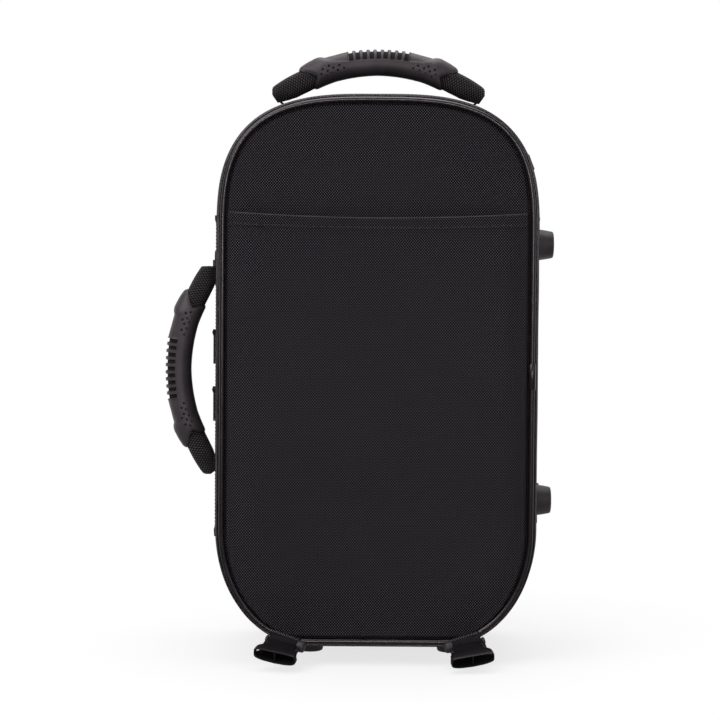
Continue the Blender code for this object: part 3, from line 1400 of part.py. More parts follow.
def make_rings(root):
    """Three D rings on folded webbing tabs."""
    for name, height, side in (
        ("ring_upper_right", RING_RIGHT_HIGH, 1),
        ("ring_lower_right", RING_RIGHT_LOW, 1),
        ("ring_upper_left", RING_LEFT, -1),
    ):
        matrix, bar = ring_frame(height, side)
        pivot = add_pivot(name + "_pivot", bar, root)
        add_object(name, ring_mesh(name, matrix), "metal", pivot)
        add_object(name.replace("ring", "ring_tab"), ring_tab(name, matrix), "webbing", root)


def make_buckles(root):
    """Two strap buckles at the bottom, on their webbing tabs."""
    for name, side in (("left", -1), ("right", 1)):
        make_buckle("buckle_" + name, side, root)
        buckle_tab("buckle_tab_" + name, side, root)


def centre_on_origin(root):
    """Moves the whole case so that the bottom centre of its bounding box is the origin."""
    bpy.context.view_layer.update()
    corners = [
        o.matrix_world @ v.co
        for o in bpy.context.scene.objects
        if o.type == "MESH" and not o.hide_render
        for v in o.data.vertices
    ]
    for axis in (0, 1):
        values = [c[axis] for c in corners]
        root.location[axis] = -(min(values) + max(values)) / 2
    root.location[2] = -min(c[2] for c in corners)


def main():
    for old in list(bpy.data.objects):
        bpy.data.objects.remove(old)
    root = add_pivot("case", (0, 0, 0), None)
    samples = outline()
    lid_pivot = add_pivot("lid_pivot", (HALF_WIDTH + HINGE_OUT, PARTING_Y, SEAM_LOW + SEAM_HEIGHT / 2), root)
    make_shells(samples, root, lid_pivot)
    make_covers(samples, root, lid_pivot)
    make_zip(samples, root, lid_pivot)
    make_straps_and_feet(root)
    make_handles(root)
    make_rings(root)
    make_buckles(root)
    make_inside(samples, root, lid_pivot)
    centre_on_origin(root)


main()
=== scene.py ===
import json
from math import atan2, copysign, cos, degrees, hypot, pi, radians, sin

import bmesh
import bpy
from mathutils import Matrix, Vector, noise


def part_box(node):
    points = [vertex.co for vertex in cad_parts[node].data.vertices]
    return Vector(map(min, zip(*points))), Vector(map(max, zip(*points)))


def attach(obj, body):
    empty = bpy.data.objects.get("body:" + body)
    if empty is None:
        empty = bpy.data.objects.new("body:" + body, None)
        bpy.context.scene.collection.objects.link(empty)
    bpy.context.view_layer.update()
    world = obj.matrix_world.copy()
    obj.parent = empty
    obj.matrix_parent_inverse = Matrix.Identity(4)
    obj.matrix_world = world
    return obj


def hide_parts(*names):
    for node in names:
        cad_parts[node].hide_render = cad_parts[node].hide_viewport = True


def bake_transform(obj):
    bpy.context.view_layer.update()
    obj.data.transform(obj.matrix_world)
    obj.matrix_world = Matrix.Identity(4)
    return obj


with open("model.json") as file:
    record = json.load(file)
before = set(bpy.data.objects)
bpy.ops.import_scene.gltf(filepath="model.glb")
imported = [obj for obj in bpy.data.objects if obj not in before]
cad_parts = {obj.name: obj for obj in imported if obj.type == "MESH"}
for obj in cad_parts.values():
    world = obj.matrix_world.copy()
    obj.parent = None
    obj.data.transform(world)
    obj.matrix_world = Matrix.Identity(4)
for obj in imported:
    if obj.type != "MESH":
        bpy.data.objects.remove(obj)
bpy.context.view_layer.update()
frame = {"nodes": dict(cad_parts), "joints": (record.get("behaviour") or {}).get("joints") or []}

# The case in metres, as the solids have it
PIVOTS = {j["child"]: Vector(j["pos_m"]) for j in frame["joints"] if "pos_m" in j}
AXES = {j["child"]: Vector(j["axis"]) for j in frame["joints"] if "axis" in j}
MIDDLE = (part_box("wearer_panel")[0].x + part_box("wearer_panel")[1].x) / 2
GAP = 0.0003
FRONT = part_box("wearer_panel")[1].y + GAP
DEPTH = 0.160
BACK = FRONT + DEPTH
PARTING = FRONT + 0.114
STRAP_Y = PARTING - 0.048
HALF_WIDTH = 0.1242
SEAM_LOW = 0.0196
SEAM_HIGH = SEAM_LOW + 0.4345
TOP_END, TOP_POWER = 0.112, 3.1
BOTTOM_END, BOTTOM_POWER, BOTTOM_FLAT = 0.090, 2.05, 0.053
CROWN, CROWN_POWER = 0.0075, 3.5
WALL = 0.006
PIPING_RADIUS = 0.0022
PARTING_GAP = 0.0016
SEAM_POINTS = 320
STITCH_PITCH = 0.003
SIDE_FROM = 0.09          # the seam is on a side from here out
POCKET_FLOOR, POCKET_MOUTH = SEAM_LOW + 0.0047, SEAM_HIGH - 0.0915    # the straps end as high as the mouth
POCKET_BACK = FRONT - GAP - 0.002 - GAP    # the panel's face, which the pocket lies on
POCKET_INSET = 0.0045     # the pocket's edge in from the seam
POCKET_CLOTH = 0.0009
MOUTH_SAG, MOUTH_REACH = 0.0042, 0.020    # how far the mouth hangs, and the cloth that hangs with it
STRAP_HALF = 0.0125
STRAP_TOP = 0.0020        # the feet's seat on the straps
SPLICE_LOW, SPLICE_HIGH = SEAM_LOW + 0.204, SEAM_LOW + 0.2245
TAPE_WIDTH, TAPE_LOW, TAPE_HIGH = 0.0095, 0.0002, 0.0011
COIL_PITCH = 0.0016
HINGE_LOW, HINGE_HIGH = SEAM_LOW + 0.070, SEAM_HIGH - 0.0685
ARC_RADIUS = 0.150        # the handles' arc
TAIL_ANGLE = 32           # degrees from a handle's middle to its tails
GRIP_ANGLE = 24.7         # and to the ends of its grip
BUCKLE_SPREAD = 0.072


# The seam outline

def rounded_end(angle, flat, height, power, centre, upward):
    c, s = cos(angle), sin(angle)
    across = copysign(abs(c) ** (2 / power), c)
    x = copysign(flat, c) * (abs(c) > 1e-6) + (HALF_WIDTH - flat) * across
    return Vector((MIDDLE + x, 0, centre + upward * height * abs(s) ** (2 / power)))


def seam_line():
    """The panels' outline as evenly spaced (place, outward direction, length along)."""
    top, bottom = SEAM_HIGH - TOP_END, SEAM_LOW + BOTTOM_END
    steps = 900
    line = [rounded_end(pi * i / steps, 0, TOP_END, TOP_POWER, top, 1) for i in range(steps + 1)]
    quarter = [rounded_end(pi / 2 * i / steps, BOTTOM_FLAT, BOTTOM_END, BOTTOM_POWER, bottom, -1)
               for i in range(steps)] + [Vector((MIDDLE + BOTTOM_FLAT, 0, SEAM_LOW))]
    line += [Vector((2 * MIDDLE - p.x, 0, p.z)) for p in quarter] + quarter[::-1]
    lengths = [0.0]
    for a, b in zip(line, line[1:] + line[:1]):
        lengths.append(lengths[-1] + (b - a).length)
    places, j = [], 0
    for i in range(SEAM_POINTS):
        want = lengths[-1] * i / SEAM_POINTS
        while lengths[j + 1] < want:
            j += 1
        share = (want - lengths[j]) / max(lengths[j + 1] - lengths[j], 1e-9)
        places.append(line[j].lerp(line[(j + 1) % len(line)], share))
    samples = []
    for i, p in enumerate(places):
        run = places[(i + 1) % SEAM_POINTS] - places[i - 1]
        samples.append((p, Vector((run.z, 0, -run.x)).normalized(), lengths[-1] * i / SEAM_POINTS))
    return samples


SEAM = seam_line()


def crown_at(y):
    share = abs(2 * (y - FRONT) / DEPTH - 1)
    return CROWN * max(0.0, 1 - share ** CROWN_POWER) ** (1 / CROWN_POWER)


def on_side(sample, y, out=0.0):
    """A place out from the side wall's cloth at a depth."""
    return sample[0] + sample[1] * (crown_at(y) + out) + Vector((0, y, 0))


def off_seam(sample, y, out=0.0):
    return sample[0] + sample[1] * out + Vector((0, y, 0))


def side_samples(low, high, side):
    """Samples up the left (-1) or right (+1) side between two heights."""
    kept = [s for s in SEAM if (s[0].x - MIDDLE) * side > SIDE_FROM and low <= s[0].z <= high]
    kept.sort(key=lambda s: s[0].z)
    ends = []
    for want, near in ((low, kept[0]), (high, kept[-1])):
        other = kept[1] if near is kept[0] else kept[-2]
        slope = (other[0] - near[0]) / (other[0].z - near[0].z)
        ends.append((near[0] + slope * (want - near[0].z), near[1], near[2] + abs(want - near[0].z)))
    return [ends[0]] + kept + [ends[1]]


# Making meshes

def circle(count):
    """Even angles round a full turn."""
    return [2 * pi * i / count for i in range(count)]


def mean_gap(ring, other):
    return sum((Vector(a) - Vector(b)).length for a, b in zip(ring, other)) / len(ring)


def skin(rings, along=False):
    """Extrudes the first closed ring from ring to ring. The UV map holds metres around and along."""
    bm = bmesh.new()
    u_mark, v_mark = bm.verts.layers.float.new("u"), bm.verts.layers.float.new("v")
    count = len(rings[0])
    pairs = [(i, (i + 1) % count) for i in range(count)]
    first = current = [bm.verts.new(p) for p in rings[0]]
    girth = run = 0.0
    for i, j in pairs:
        current[i][u_mark] = girth
        girth += (Vector(rings[0][j]) - Vector(rings[0][i])).length
    edges = [bm.edges.new((current[i], current[j])) for i, j in pairs]
    for before, ring in zip(rings, rings[1:]):
        run += mean_gap(before, ring)
        made = bmesh.ops.extrude_edge_only(bm, edges=edges)["geom"]
        known = {v: i for i, v in enumerate(current)}
        following = [None] * count
        for v in made:
            for e in v.link_edges if isinstance(v, bmesh.types.BMVert) else ():
                if e.other_vert(v) in known:
                    following[known[e.other_vert(v)]] = v
        for i, v in enumerate(following):
            v.co, v[u_mark], v[v_mark] = ring[i], current[i][u_mark], run
        current = following
        edges = [bm.edges.get((current[i], current[j])) for i, j in pairs]
    length = run
    if along:
        length += mean_gap(rings[-1], rings[0])
        for edge, (i, j) in zip(edges, pairs):
            bmesh.ops.contextual_create(bm, geom=[edge, bm.edges.get((first[i], first[j]))])
    else:
        for loop in (first, current):
            bmesh.ops.contextual_create(bm, geom=loop)
    uv = bm.loops.layers.uv.new("cloth")
    for face in bm.faces:
        us, vs = [v[u_mark] for v in face.verts], [v[v_mark] for v in face.verts]
        wall = len(us) <= 4
        u_wrap = wall and max(us) - min(us) > girth / 2
        v_wrap = wall and along and max(vs) - min(vs) > length / 2
        for loop in face.loops:
            u, v = loop.vert[u_mark], loop.vert[v_mark]
            loop[uv].uv = (u + girth * (u_wrap and u < girth / 2), v + length * (v_wrap and v < length / 2))
    bmesh.ops.recalc_face_normals(bm, faces=bm.faces)
    return bm


def flat_uv(bm, layer):
    """Lays the UV map flat on the panels: metres across and up."""
    for face in bm.faces:
        for loop in face.loops:
            loop[layer].uv = (loop.vert.co.x, loop.vert.co.z)


def new_object(name, data):
    made = bpy.data.objects.new(name, data)
    bpy.context.scene.collection.objects.link(made)
    return made


def object_of(bm, name):
    """A plain object from a bmesh, which is freed."""
    mesh = bpy.data.meshes.new(name)
    bm.to_mesh(mesh)
    bm.free()
    return new_object(name, mesh)


def evaluated_mesh(obj):
    """A new mesh: the object's own with its modifiers applied."""
    graph = bpy.context.evaluated_depsgraph_get()
    return bpy.data.meshes.new_from_object(obj.evaluated_get(graph))


def shade_round(mesh, sharp):
    mesh.shade_smooth()
    mesh.set_sharp_from_angle(angle=radians(sharp))


def piece(bm, name, finish, body, replaced=(), sharp=40, transform=None):
    """Turns a bmesh into a finished object that rides on a body."""
    if transform is not None:
        bm.transform(transform)
    made = object_of(bm, name)
    made.data.materials.append(finish)
    shade_round(made.data, sharp)
    if body:
        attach(made, body)
    if replaced:
        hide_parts(*replaced)
    return made


def copy_of(node):
    """A welded copy of a CAD node's mesh."""
    bm = bmesh.new()
    bm.from_mesh(frame["nodes"][node].data)
    bmesh.ops.remove_doubles(bm, verts=bm.verts, dist=0.00002)
    bmesh.ops.dissolve_limit(bm, angle_limit=radians(1), verts=bm.verts, edges=bm.edges)
    bmesh.ops.recalc_face_normals(bm, faces=bm.faces)
    return bm


def refined(node, name, finish, body, width, segments=2, angle=35):
    """A CAD node's own shape with its edges rounded."""
    made = piece(copy_of(node), name, finish, body, (node,))
    modifier = made.modifiers.new("edges", "BEVEL")
    modifier.width, modifier.segments = width, segments
    modifier.limit_method, modifier.angle_limit = "ANGLE", radians(angle)


def softened(node, name, body, voxel, rounds, swell=0.0):
    """A foam piece: the solid's shape with its edges worn round and its faces gently uneven."""
    solid = object_of(copy_of(node), name)
    modifier = solid.modifiers.new("foam", "REMESH")
    modifier.mode, modifier.voxel_size = "VOXEL", voxel
    bm = bmesh.new()
    bm.from_mesh(evaluated_mesh(solid))
    bpy.data.objects.remove(solid)
    for _ in range(rounds):
        bmesh.ops.smooth_vert(bm, verts=bm.verts, factor=0.5, use_axis_x=True, use_axis_y=True, use_axis_z=True)
    bm.normal_update()
    for v in bm.verts:
        v.co += v.normal * (swell + 0.0003 * noise.noise(v.co * 40))
    piece(bm, name, PLUSH, body, (node,), sharp=80)


def cut_away(obj, cutter):
    """Cuts one object out of another and returns the new mesh."""
    modifier = obj.modifiers.new("cut", "BOOLEAN")
    modifier.operation, modifier.solver, modifier.object = "DIFFERENCE", "EXACT", cutter
    shaped = evaluated_mesh(obj)
    obj.modifiers.clear()
    obj.data = shaped
    bpy.data.objects.remove(cutter)
    return shaped


# Finishes

def add_node(tree, kind, *values, out=0, **settings):
    """A new shader node's output, its inputs set or linked in order."""
    made = tree.nodes.new("ShaderNode" + kind)
    for key, value in settings.items():
        setattr(made, key, value)
    for socket, value in zip(made.inputs, values):
        if isinstance(value, bpy.types.NodeSocket):
            tree.links.new(value, socket)
        elif value is not None:
            socket.default_value = value
    return made.outputs[out]


class Finish:
    """A node material under construction."""

    def __init__(self, name, roughness, metallic=0.0, specular=0.5, sheen=0.0):
        self.material = bpy.data.materials.new(name)
        self.material.use_nodes = True
        self.tree = self.material.node_tree
        self.shader = self.tree.nodes["Principled BSDF"]
        for socket, value in (("Roughness", roughness), ("Metallic", metallic),
                              ("Specular IOR Level", specular), ("Specular Tint", (1.0, 0.88, 0.94, 1)),
                              ("Sheen Weight", sheen), ("Sheen Roughness", 0.45)):
            self.shader.inputs[socket].default_value = value

    def add(self, kind, *values, out=0, **settings):
        return add_node(self.tree, kind, *values, out=out, **settings)

    def maths(self, a, b, operation="ADD"):
        return self.add("Math", a, b, operation=operation)

    def places(self, uv=False):
        return self.add("UVMap", uv_map="cloth") if uv else self.add("TexCoord", out=3)

    def two_ways(self, flat=None):
        """The two ways over a cloth: its UV map's, or two of the Object axes."""
        axes = self.add("SeparateXYZ", self.places(uv=flat is None)).node.outputs
        return [axes[i] for i in flat or (0, 1)]

    def wave(self, value, pitch):
        return self.maths(self.maths(value, 2 * pi / pitch, "MULTIPLY"), 0.0, "COSINE")

    def noise(self, vector, scale, detail=3.0):
        return self.add("TexNoise", vector, None, scale, detail)

    def ramp(self, value, low, high, start=0.0, end=1.0):
        made = self.add("ValToRGB", value)
        for stop, place, colour in zip(made.node.color_ramp.elements, (start, end), (low, high)):
            stop.position, stop.color = place, (*colour, 1)
        return made

    def scaled(self, value, low, high, lowest=0.0):
        return self.add("MapRange", value, lowest, 1.0, low, high)

    def tinted(self, colour, factor):
        return self.add("VectorMath", colour, None, None, factor, operation="SCALE")

    def colour(self, socket):
        self.tree.links.new(socket, self.shader.inputs["Base Color"])

    def rough(self, socket):
        self.tree.links.new(socket, self.shader.inputs["Roughness"])

    def bump(self, height, distance, strength=1.0):
        made = self.tree.nodes.new("ShaderNodeBump")
        made.inputs["Strength"].default_value = strength
        made.inputs["Distance"].default_value = distance
        self.tree.links.new(height, made.inputs["Height"])
        self.tree.links.new(made.outputs[0], self.shader.inputs["Normal"])

    def threads(self, height, low, high, start, end, grain, relief):
        """Ends a webbing: dark between its threads, each thread a little lighter or darker."""
        colour = self.ramp(height, low, high, start, end)
        self.colour(self.tinted(colour, self.scaled(self.noise(self.places(), grain), 0.7, 1.3)))
        self.bump(height, relief)
        return self.material


def woven(name, low, high, pitch, relief, flat=None):
    """Plain weave: crossing threads in two pitches. flat names two Object axes where there is no UV map."""
    f = Finish(name, 0.8, specular=0.10, sheen=0.02)
    u, v = f.two_ways(flat)
    threads = f.maths(f.wave(u, pitch[0]), f.wave(v, pitch[1]), "MULTIPLY")
    height = f.scaled(threads, 0.0, 1.0, -1.0)
    wide = f.noise(f.places(), 9.0, 4.0)
    fine = f.noise(f.places(), 320.0, 2.0)
    colour = f.tinted(f.ramp(height, low, high, 0.56, 1.0), f.scaled(wide, 0.86, 1.14))
    f.colour(f.tinted(colour, f.scaled(fine, 0.78, 1.22)))
    f.bump(height, relief)
    return f.material


def herringbone(name, low, high, pitch, width, relief, flat=None):
    """Strap webbing: ribs that lean one way and then the other across the strap."""
    f = Finish(name, 0.8, specular=0.12, sheen=0.03)
    u, v = f.two_ways(flat)
    ribs = f.wave(f.maths(f.maths(u, width, "PINGPONG"), v), pitch)
    return f.threads(f.scaled(ribs, 0.0, 1.0, -1.0), low, high, 0.1, 0.9, 260.0, relief)


def knitted(name, low, high, pitch, relief):
    """The handles' thick tubular webbing: rows of small raised loops."""
    f = Finish(name, 0.7, specular=0.20, sheen=0.04)
    u, v = f.two_ways()
    loops = f.maths(f.wave(u, pitch[0]), f.wave(v, pitch[1]), "MULTIPLY")
    return f.threads(f.scaled(loops, 0.0, 1.0, -0.6), low, high, 0.30, 0.95, 300.0, relief)


def moulded(name, colour, roughness, grain, specular=0.5):
    """Rubber and plastic: fine moulded grain, and faint lighter rubbed patches."""
    f = Finish(name, roughness, specular=specular)
    where = f.places()
    patches = f.noise(where, 60.0, 5.0)
    f.colour(f.ramp(patches, colour, tuple(c * 1.25 for c in colour), 0.35, 0.75))
    f.rough(f.scaled(patches, roughness - 0.06, roughness + 0.10))
    f.bump(f.noise(where, 1400.0, 2.0), grain, 0.5)
    return f.material


def grip_rubber():
    """Moulded rubber whose pockets between the ribs are painted dark: partly the dark webbing seen through
    them, partly painted shade in the recesses.
    """
    f = Finish("grip rubber", 0.5, specular=0.45)
    where = f.places()
    patches = f.noise(where, 60.0, 5.0)
    colour = f.ramp(patches, (0.0290, 0.0248, 0.0278), (0.0420, 0.0360, 0.0400), 0.35, 0.75)
    # The pocket mark darkens the colour: painted shade in the recesses between the ribs, together with the dark
    # webbing behind them.
    pocket = f.add("Attribute", out=2, attribute_name="pocket")
    f.colour(f.tinted(colour, f.scaled(pocket, 1.0, 0.12)))
    f.rough(f.add("Math", pocket, 0.45, 0.48, operation="MULTIPLY_ADD"))
    f.bump(f.noise(where, 1400.0, 2.0), 0.00005, 0.5)
    return f.material


def coated_metal(name, colour, roughness):
    """Black coated wire and zip parts, worn a little brighter in places."""
    f = Finish(name, roughness, metallic=0.6, specular=0.5)
    where = f.places()
    patches = f.noise(where, 180.0, 6.0)
    f.colour(f.ramp(patches, colour, tuple(c * 2.2 for c in colour), 0.45, 0.8))
    f.rough(f.scaled(patches, roughness - 0.08, roughness + 0.12))
    f.bump(f.noise(where, 900.0, 2.0), 0.00003, 0.4)
    return f.material


def napped(name, low, high):
    """Short plush pile over foam."""
    f = Finish(name, 0.95, specular=0.15, sheen=0.5)
    where = f.places()
    pile = f.noise(where, 900.0, 3.0)
    colour = f.ramp(pile, low, high, 0.3, 0.7)
    f.colour(f.tinted(colour, f.scaled(f.noise(where, 14.0, 4.0), 0.75, 1.25)))
    f.bump(pile, 0.0006, 0.9)
    return f.material


WEAVE = (0.00211, 0.00245)
BLACK_THREAD = (0.0010, 0.0009, 0.0011)    # between a cloth's raised threads
NYLON = woven("nylon panel cloth", BLACK_THREAD, (0.0860, 0.0790, 0.0920), WEAVE, 0.00030)
SIDE_NYLON = woven("nylon side cloth", (0.0016, 0.0014, 0.0018), (0.0700, 0.0620, 0.0720), WEAVE, 0.00030)
POCKET_NYLON = woven("nylon pocket cloth", BLACK_THREAD, (0.0890, 0.0815, 0.0950), WEAVE, 0.00032)
VINYL = moulded("piping vinyl", (0.0046, 0.0039, 0.0045), 0.24, 0.00003, 0.65)
# The hem thread also colours the cord along the pocket's fold, where it is a painted highlight.
THREAD, PALE_THREAD, HEM_THREAD_AND_EDGE_HIGHLIGHT = [
    woven(name, low, high, (pitch, pitch), 0.00005, flat=(0, 2)) for name, low, high, pitch in (
        ("sewing thread", (0.016, 0.015, 0.0165), (0.060, 0.056, 0.061), 0.0006),
        ("pale sewing thread", (0.10, 0.094, 0.10), (0.32, 0.30, 0.32), 0.0006),
        ("hem thread and painted edge highlight", (0.036, 0.033, 0.037), (0.130, 0.120, 0.133), 0.0009))]
STRAP, TAB_WEB, RING_WEB = [
    herringbone(name, low, high, pitch, width, 0.0003, flat) for name, low, high, pitch, width, flat in (
        ("strap webbing", (0.0026, 0.0023, 0.0027), (0.024, 0.0215, 0.0245), 0.0016, 0.004, None),
        ("tab webbing", (0.0022, 0.0019, 0.0023), (0.016, 0.0143, 0.0165), 0.0015, 0.003, (0, 2)),
        ("ring tab webbing", (0.010, 0.009, 0.0105), (0.070, 0.065, 0.070), 0.0014, 0.003, (2, 1)))]
KNIT = knitted("handle webbing", (0.0024, 0.0021, 0.0025), (0.062, 0.054, 0.060), (0.0025, 0.0023), 0.0004)
GRIP = grip_rubber()
FOOT_RUBBER = moulded("foot rubber", (0.0250, 0.0225, 0.0252), 0.45, 0.00006, 0.45)
PLASTIC = moulded("buckle plastic", (0.0055, 0.0050, 0.0058), 0.32, 0.00003)
# The buckle's side lobes are painted a lighter grey than the buckle plastic: a painted reflection of the light
# they catch.
LOBE_PLASTIC_PAINTED_SHEEN = moulded("buckle lobe plastic with painted sheen", (0.0230, 0.0210, 0.0225), 0.45, 0.00003, 0.45)
BLACK_METAL = coated_metal("black coated metal", (0.012, 0.011, 0.012), 0.34)
TAPE = woven("zip tape", (0.0030, 0.0027, 0.0032), (0.018, 0.016, 0.019), (0.0010, 0.0010), 0.00015)
COIL = moulded("zip coil", (0.008, 0.0072, 0.008), 0.38, 0.00002)
PLUSH = napped("grey plush", (0.024, 0.022, 0.027), (0.070, 0.065, 0.076))


# Stitches

def stitch_row(name, places, body, length=0.0021, radius=0.00026, finish=None):
    """Short raised stitches, one at each (place, run, out)."""
    bm = bmesh.new()
    for place, run, out in places:
        run, out = run.normalized(), out.normalized()
        side = out.cross(run).normalized()
        turn = Matrix((run, side, out)).transposed().to_4x4()
        size = Matrix.Diagonal((length / 2, radius, radius * 0.8, 1))
        bmesh.ops.create_icosphere(bm, subdivisions=1, radius=1,
                                   matrix=Matrix.Translation(place) @ turn @ size)
    return piece(bm, name, finish or THREAD, body, sharp=180)


def along_seam(y, out, pitch=STITCH_PITCH, samples=None, crown=True):
    """Evenly pitched stitch places on the seam, run along it."""
    places, carry = [], 0.0
    samples = samples or SEAM + SEAM[:1]
    lay = on_side if crown else off_seam
    for a, b in zip(samples, samples[1:]):
        p, q = lay(a, y, out), lay(b, y, out)
        step = (q - p).length
        while carry < step:
            places.append((p.lerp(q, carry / step), q - p, a[1]))
            carry += pitch
        carry -= step
    return places


# The two shells

def shell_cover(name, face, rim, body, node):
    """A padded shell's cloth cover: crowned side wall, folded rim and straight inside."""
    inner = crown_at(FRONT + WALL) - WALL
    rings = [[off_seam(s, face, out) for s in SEAM] for out in (-0.004, -0.0005)]
    for share in (0, 0.006, 0.02, 0.05, 0.1, 0.18, 0.28, 0.40, 0.55, 0.70, 0.84, 0.95, 0.985):
        y = face + (rim - face) * share
        rings.append([on_side(s, y, 0.00035 * noise.noise(Vector((s[2] * 22, y * 30, 3))) * min(1, share * 12))
                      for s in SEAM])
    lip, inward = copysign(0.0012, rim - face), copysign(WALL, rim - face)
    for lay, y, out in ((on_side, rim - lip * 0.3, -0.0003), (on_side, rim, -0.0012),
                        (off_seam, rim, inner + 0.0010), (off_seam, rim - lip, inner),
                        (off_seam, face + inward, inner)):
        rings.append([lay(s, y, out) for s in SEAM])
    piece(skin(rings), name, SIDE_NYLON, body, (node,), sharp=60)


def panel_cover(name, face, sign, crown, body, node):
    """A padded panel inside the piping, its edge rolled under the piping, faintly uneven."""
    edges = ((0.0042, 0.0), (0.0037, 0.0009), (0.0041, 0.0016), (0.0052, 0.0021), (0.0068, 0.0023))
    rings = [[off_seam(s, face + sign * height, -inset) for s in SEAM] for inset, height in edges]
    top, edge = face + sign * edges[-1][1], rings[-1]
    heart = Vector((MIDDLE, top, (SEAM_LOW + SEAM_HIGH) / 2))
    for share in (0.965, 0.93, 0.88, 0.82, 0.75, 0.67, 0.58, 0.48, 0.37, 0.25, 0.12, 0.03):
        ring = [heart.lerp(p, share) for p in edge]
        for q in ring:
            dent = 0.0007 * noise.noise(Vector((q.x * 14, 5, q.z * 14))) * (1 - share ** 6)
            q.y = top + sign * (crown * (1 - share ** 3) + dent)
        rings.append(ring)
    bm = skin(rings)
    flat_uv(bm, bm.loops.layers.uv["cloth"])
    piece(bm, name, NYLON, body, (node,))


def tube_round_seam(name, y, out, radius, sides, body, wave, replaced=()):
    """A cord round the panel, slightly uneven where it is sewn."""
    rings = []
    for s in SEAM:
        swell = radius * (1 + wave * noise.noise(Vector((s[2] * 90, y * 50, 1))))
        rings.append([off_seam(s, y + swell * sin(a), out + swell * cos(a)) for a in circle(sides)])
    piece(skin(rings, along=True), name, VINYL, body, replaced, sharp=180)


def make_side(prefix, face, sign, body):
    """Piping, the welt behind it and the welt's stitches on one face."""
    tube_round_seam(prefix + "_piping_cord", face + sign * 0.0025, 0.0, PIPING_RADIUS, 14, body, 0.05,
                    (prefix + "_piping",))
    tube_round_seam(prefix + "_welt", face - sign * 0.0004, 0.0034, 0.00105, 10, body, 0.10)
    row = along_seam(face + sign * 0.0003, 0.0041, crown=False)
    stitch_row(prefix + "_welt_stitches", row, body, 0.0017, 0.0002)


def make_shells():
    shell_cover("base_cover", FRONT, PARTING - PARTING_GAP / 2, "base", "base_shell")
    shell_cover("lid_cover", BACK, PARTING + PARTING_GAP / 2, "lid", "lid_shell")
    panel_cover("wearer_panel_cloth", FRONT - GAP, -1, 0.0, "base", "wearer_panel")
    panel_cover("lid_panel_cloth", BACK + GAP, 1, 0.0022, "lid", "lid_panel")
    make_side("wearer", FRONT, -1, "base")
    make_side("lid", BACK, 1, "lid")


def make_splice():
    """The short sleeve that joins the piping's two ends."""
    samples = side_samples(SPLICE_LOW, SPLICE_HIGH, 1)
    rings = []
    for share, extra in ((0.0, 0.00035), (0.03, 0.00075), (0.5, 0.00085), (0.97, 0.00075), (1.0, 0.00035)):
        z = SPLICE_LOW + (SPLICE_HIGH - SPLICE_LOW) * share
        near = min(samples, key=lambda s: abs(s[0].z - z))
        centre, radius = Vector((near[0].x, FRONT - 0.0025, z)), PIPING_RADIUS + extra
        rings.append([centre + Vector((radius * cos(a), radius * sin(a), 0)) for a in circle(18)])
    piece(skin(rings), "piping_sleeve", VINYL, "base", ("piping_splice",))


def half_width_at(z):
    """Half the seam outline's width at a height."""
    near = [s for s in SEAM if s[0].x > MIDDLE]
    near.sort(key=lambda s: s[0].z)
    for a, b in zip(near, near[1:]):
        if a[0].z <= z <= b[0].z:
            share = (z - a[0].z) / max(b[0].z - a[0].z, 1e-9)
            return a[0].lerp(b[0], share).x - MIDDLE
    return near[0][0].x - MIDDLE


def soft_rise(value):
    """From nought to one as the value does, starting and ending gently."""
    value = max(0.0, min(1.0, value))
    return value * value * (3 - 2 * value)


def pocket_face(x, z):
    """How far the slip pocket stands off the panel."""
    side = half_width_at(z) - POCKET_INSET - abs(x)
    foot = z - SEAM_LOW - POCKET_INSET
    lift = 0.0048 * soft_rise(side / 0.020) * soft_rise(foot / 0.045)
    ripple = 0.0006 * noise.noise(Vector((x * 16, 8, z * 11))) * soft_rise(side / 0.03)
    return lift + ripple


def mouth_sag(across, z):
    """How far the cloth hangs down near the mouth, most at the middle of it."""
    return MOUTH_SAG * soft_rise((z - POCKET_MOUTH + MOUTH_REACH) / MOUTH_REACH) * (1 - across * across)


def make_pocket():
    """The slip pocket: one cloth sewn down at the sides and bottom, its mouth hemmed and sagging a little."""
    bm = bmesh.new()
    uv = bm.loops.layers.uv.new("cloth")
    bmesh.ops.create_grid(bm, x_segments=96, y_segments=120, size=1, calc_uvs=False)
    for v in bm.verts:
        across = v.co.x
        z = POCKET_FLOOR + (POCKET_MOUTH - POCKET_FLOOR) * ((v.co.y + 1) / 2) ** 1.25
        x = across * max(half_width_at(z) - POCKET_INSET, 0.02)
        v.co = Vector((MIDDLE + x, POCKET_BACK - pocket_face(x, z), z - mouth_sag(across, z)))
    flat_uv(bm, uv)
    bmesh.ops.recalc_face_normals(bm, faces=bm.faces)
    if sum(f.normal.y for f in bm.faces) > 0:
        bmesh.ops.reverse_faces(bm, faces=bm.faces)
    area = sum(f.calc_area() for f in bm.faces)
    cloth = piece(bm, "pocket_cloth", POCKET_NYLON, "base", ("slip_pocket",), sharp=180)
    wall = cloth.modifiers.new("thickness", "SOLIDIFY")
    wall.thickness, wall.offset = POCKET_CLOTH, 1
    width, length = 2 * (half_width_at(0.2) - POCKET_INSET), POCKET_MOUTH - POCKET_FLOOR
    make_hem()


def mouth_place(x, below, lift):
    """A place on the pocket's face, a little under its mouth."""
    z = POCKET_MOUTH - below
    share = x / (half_width_at(POCKET_MOUTH) - POCKET_INSET)
    return Vector((MIDDLE + x, POCKET_BACK - POCKET_CLOTH - pocket_face(x, z) - lift, z - mouth_sag(share, z)))


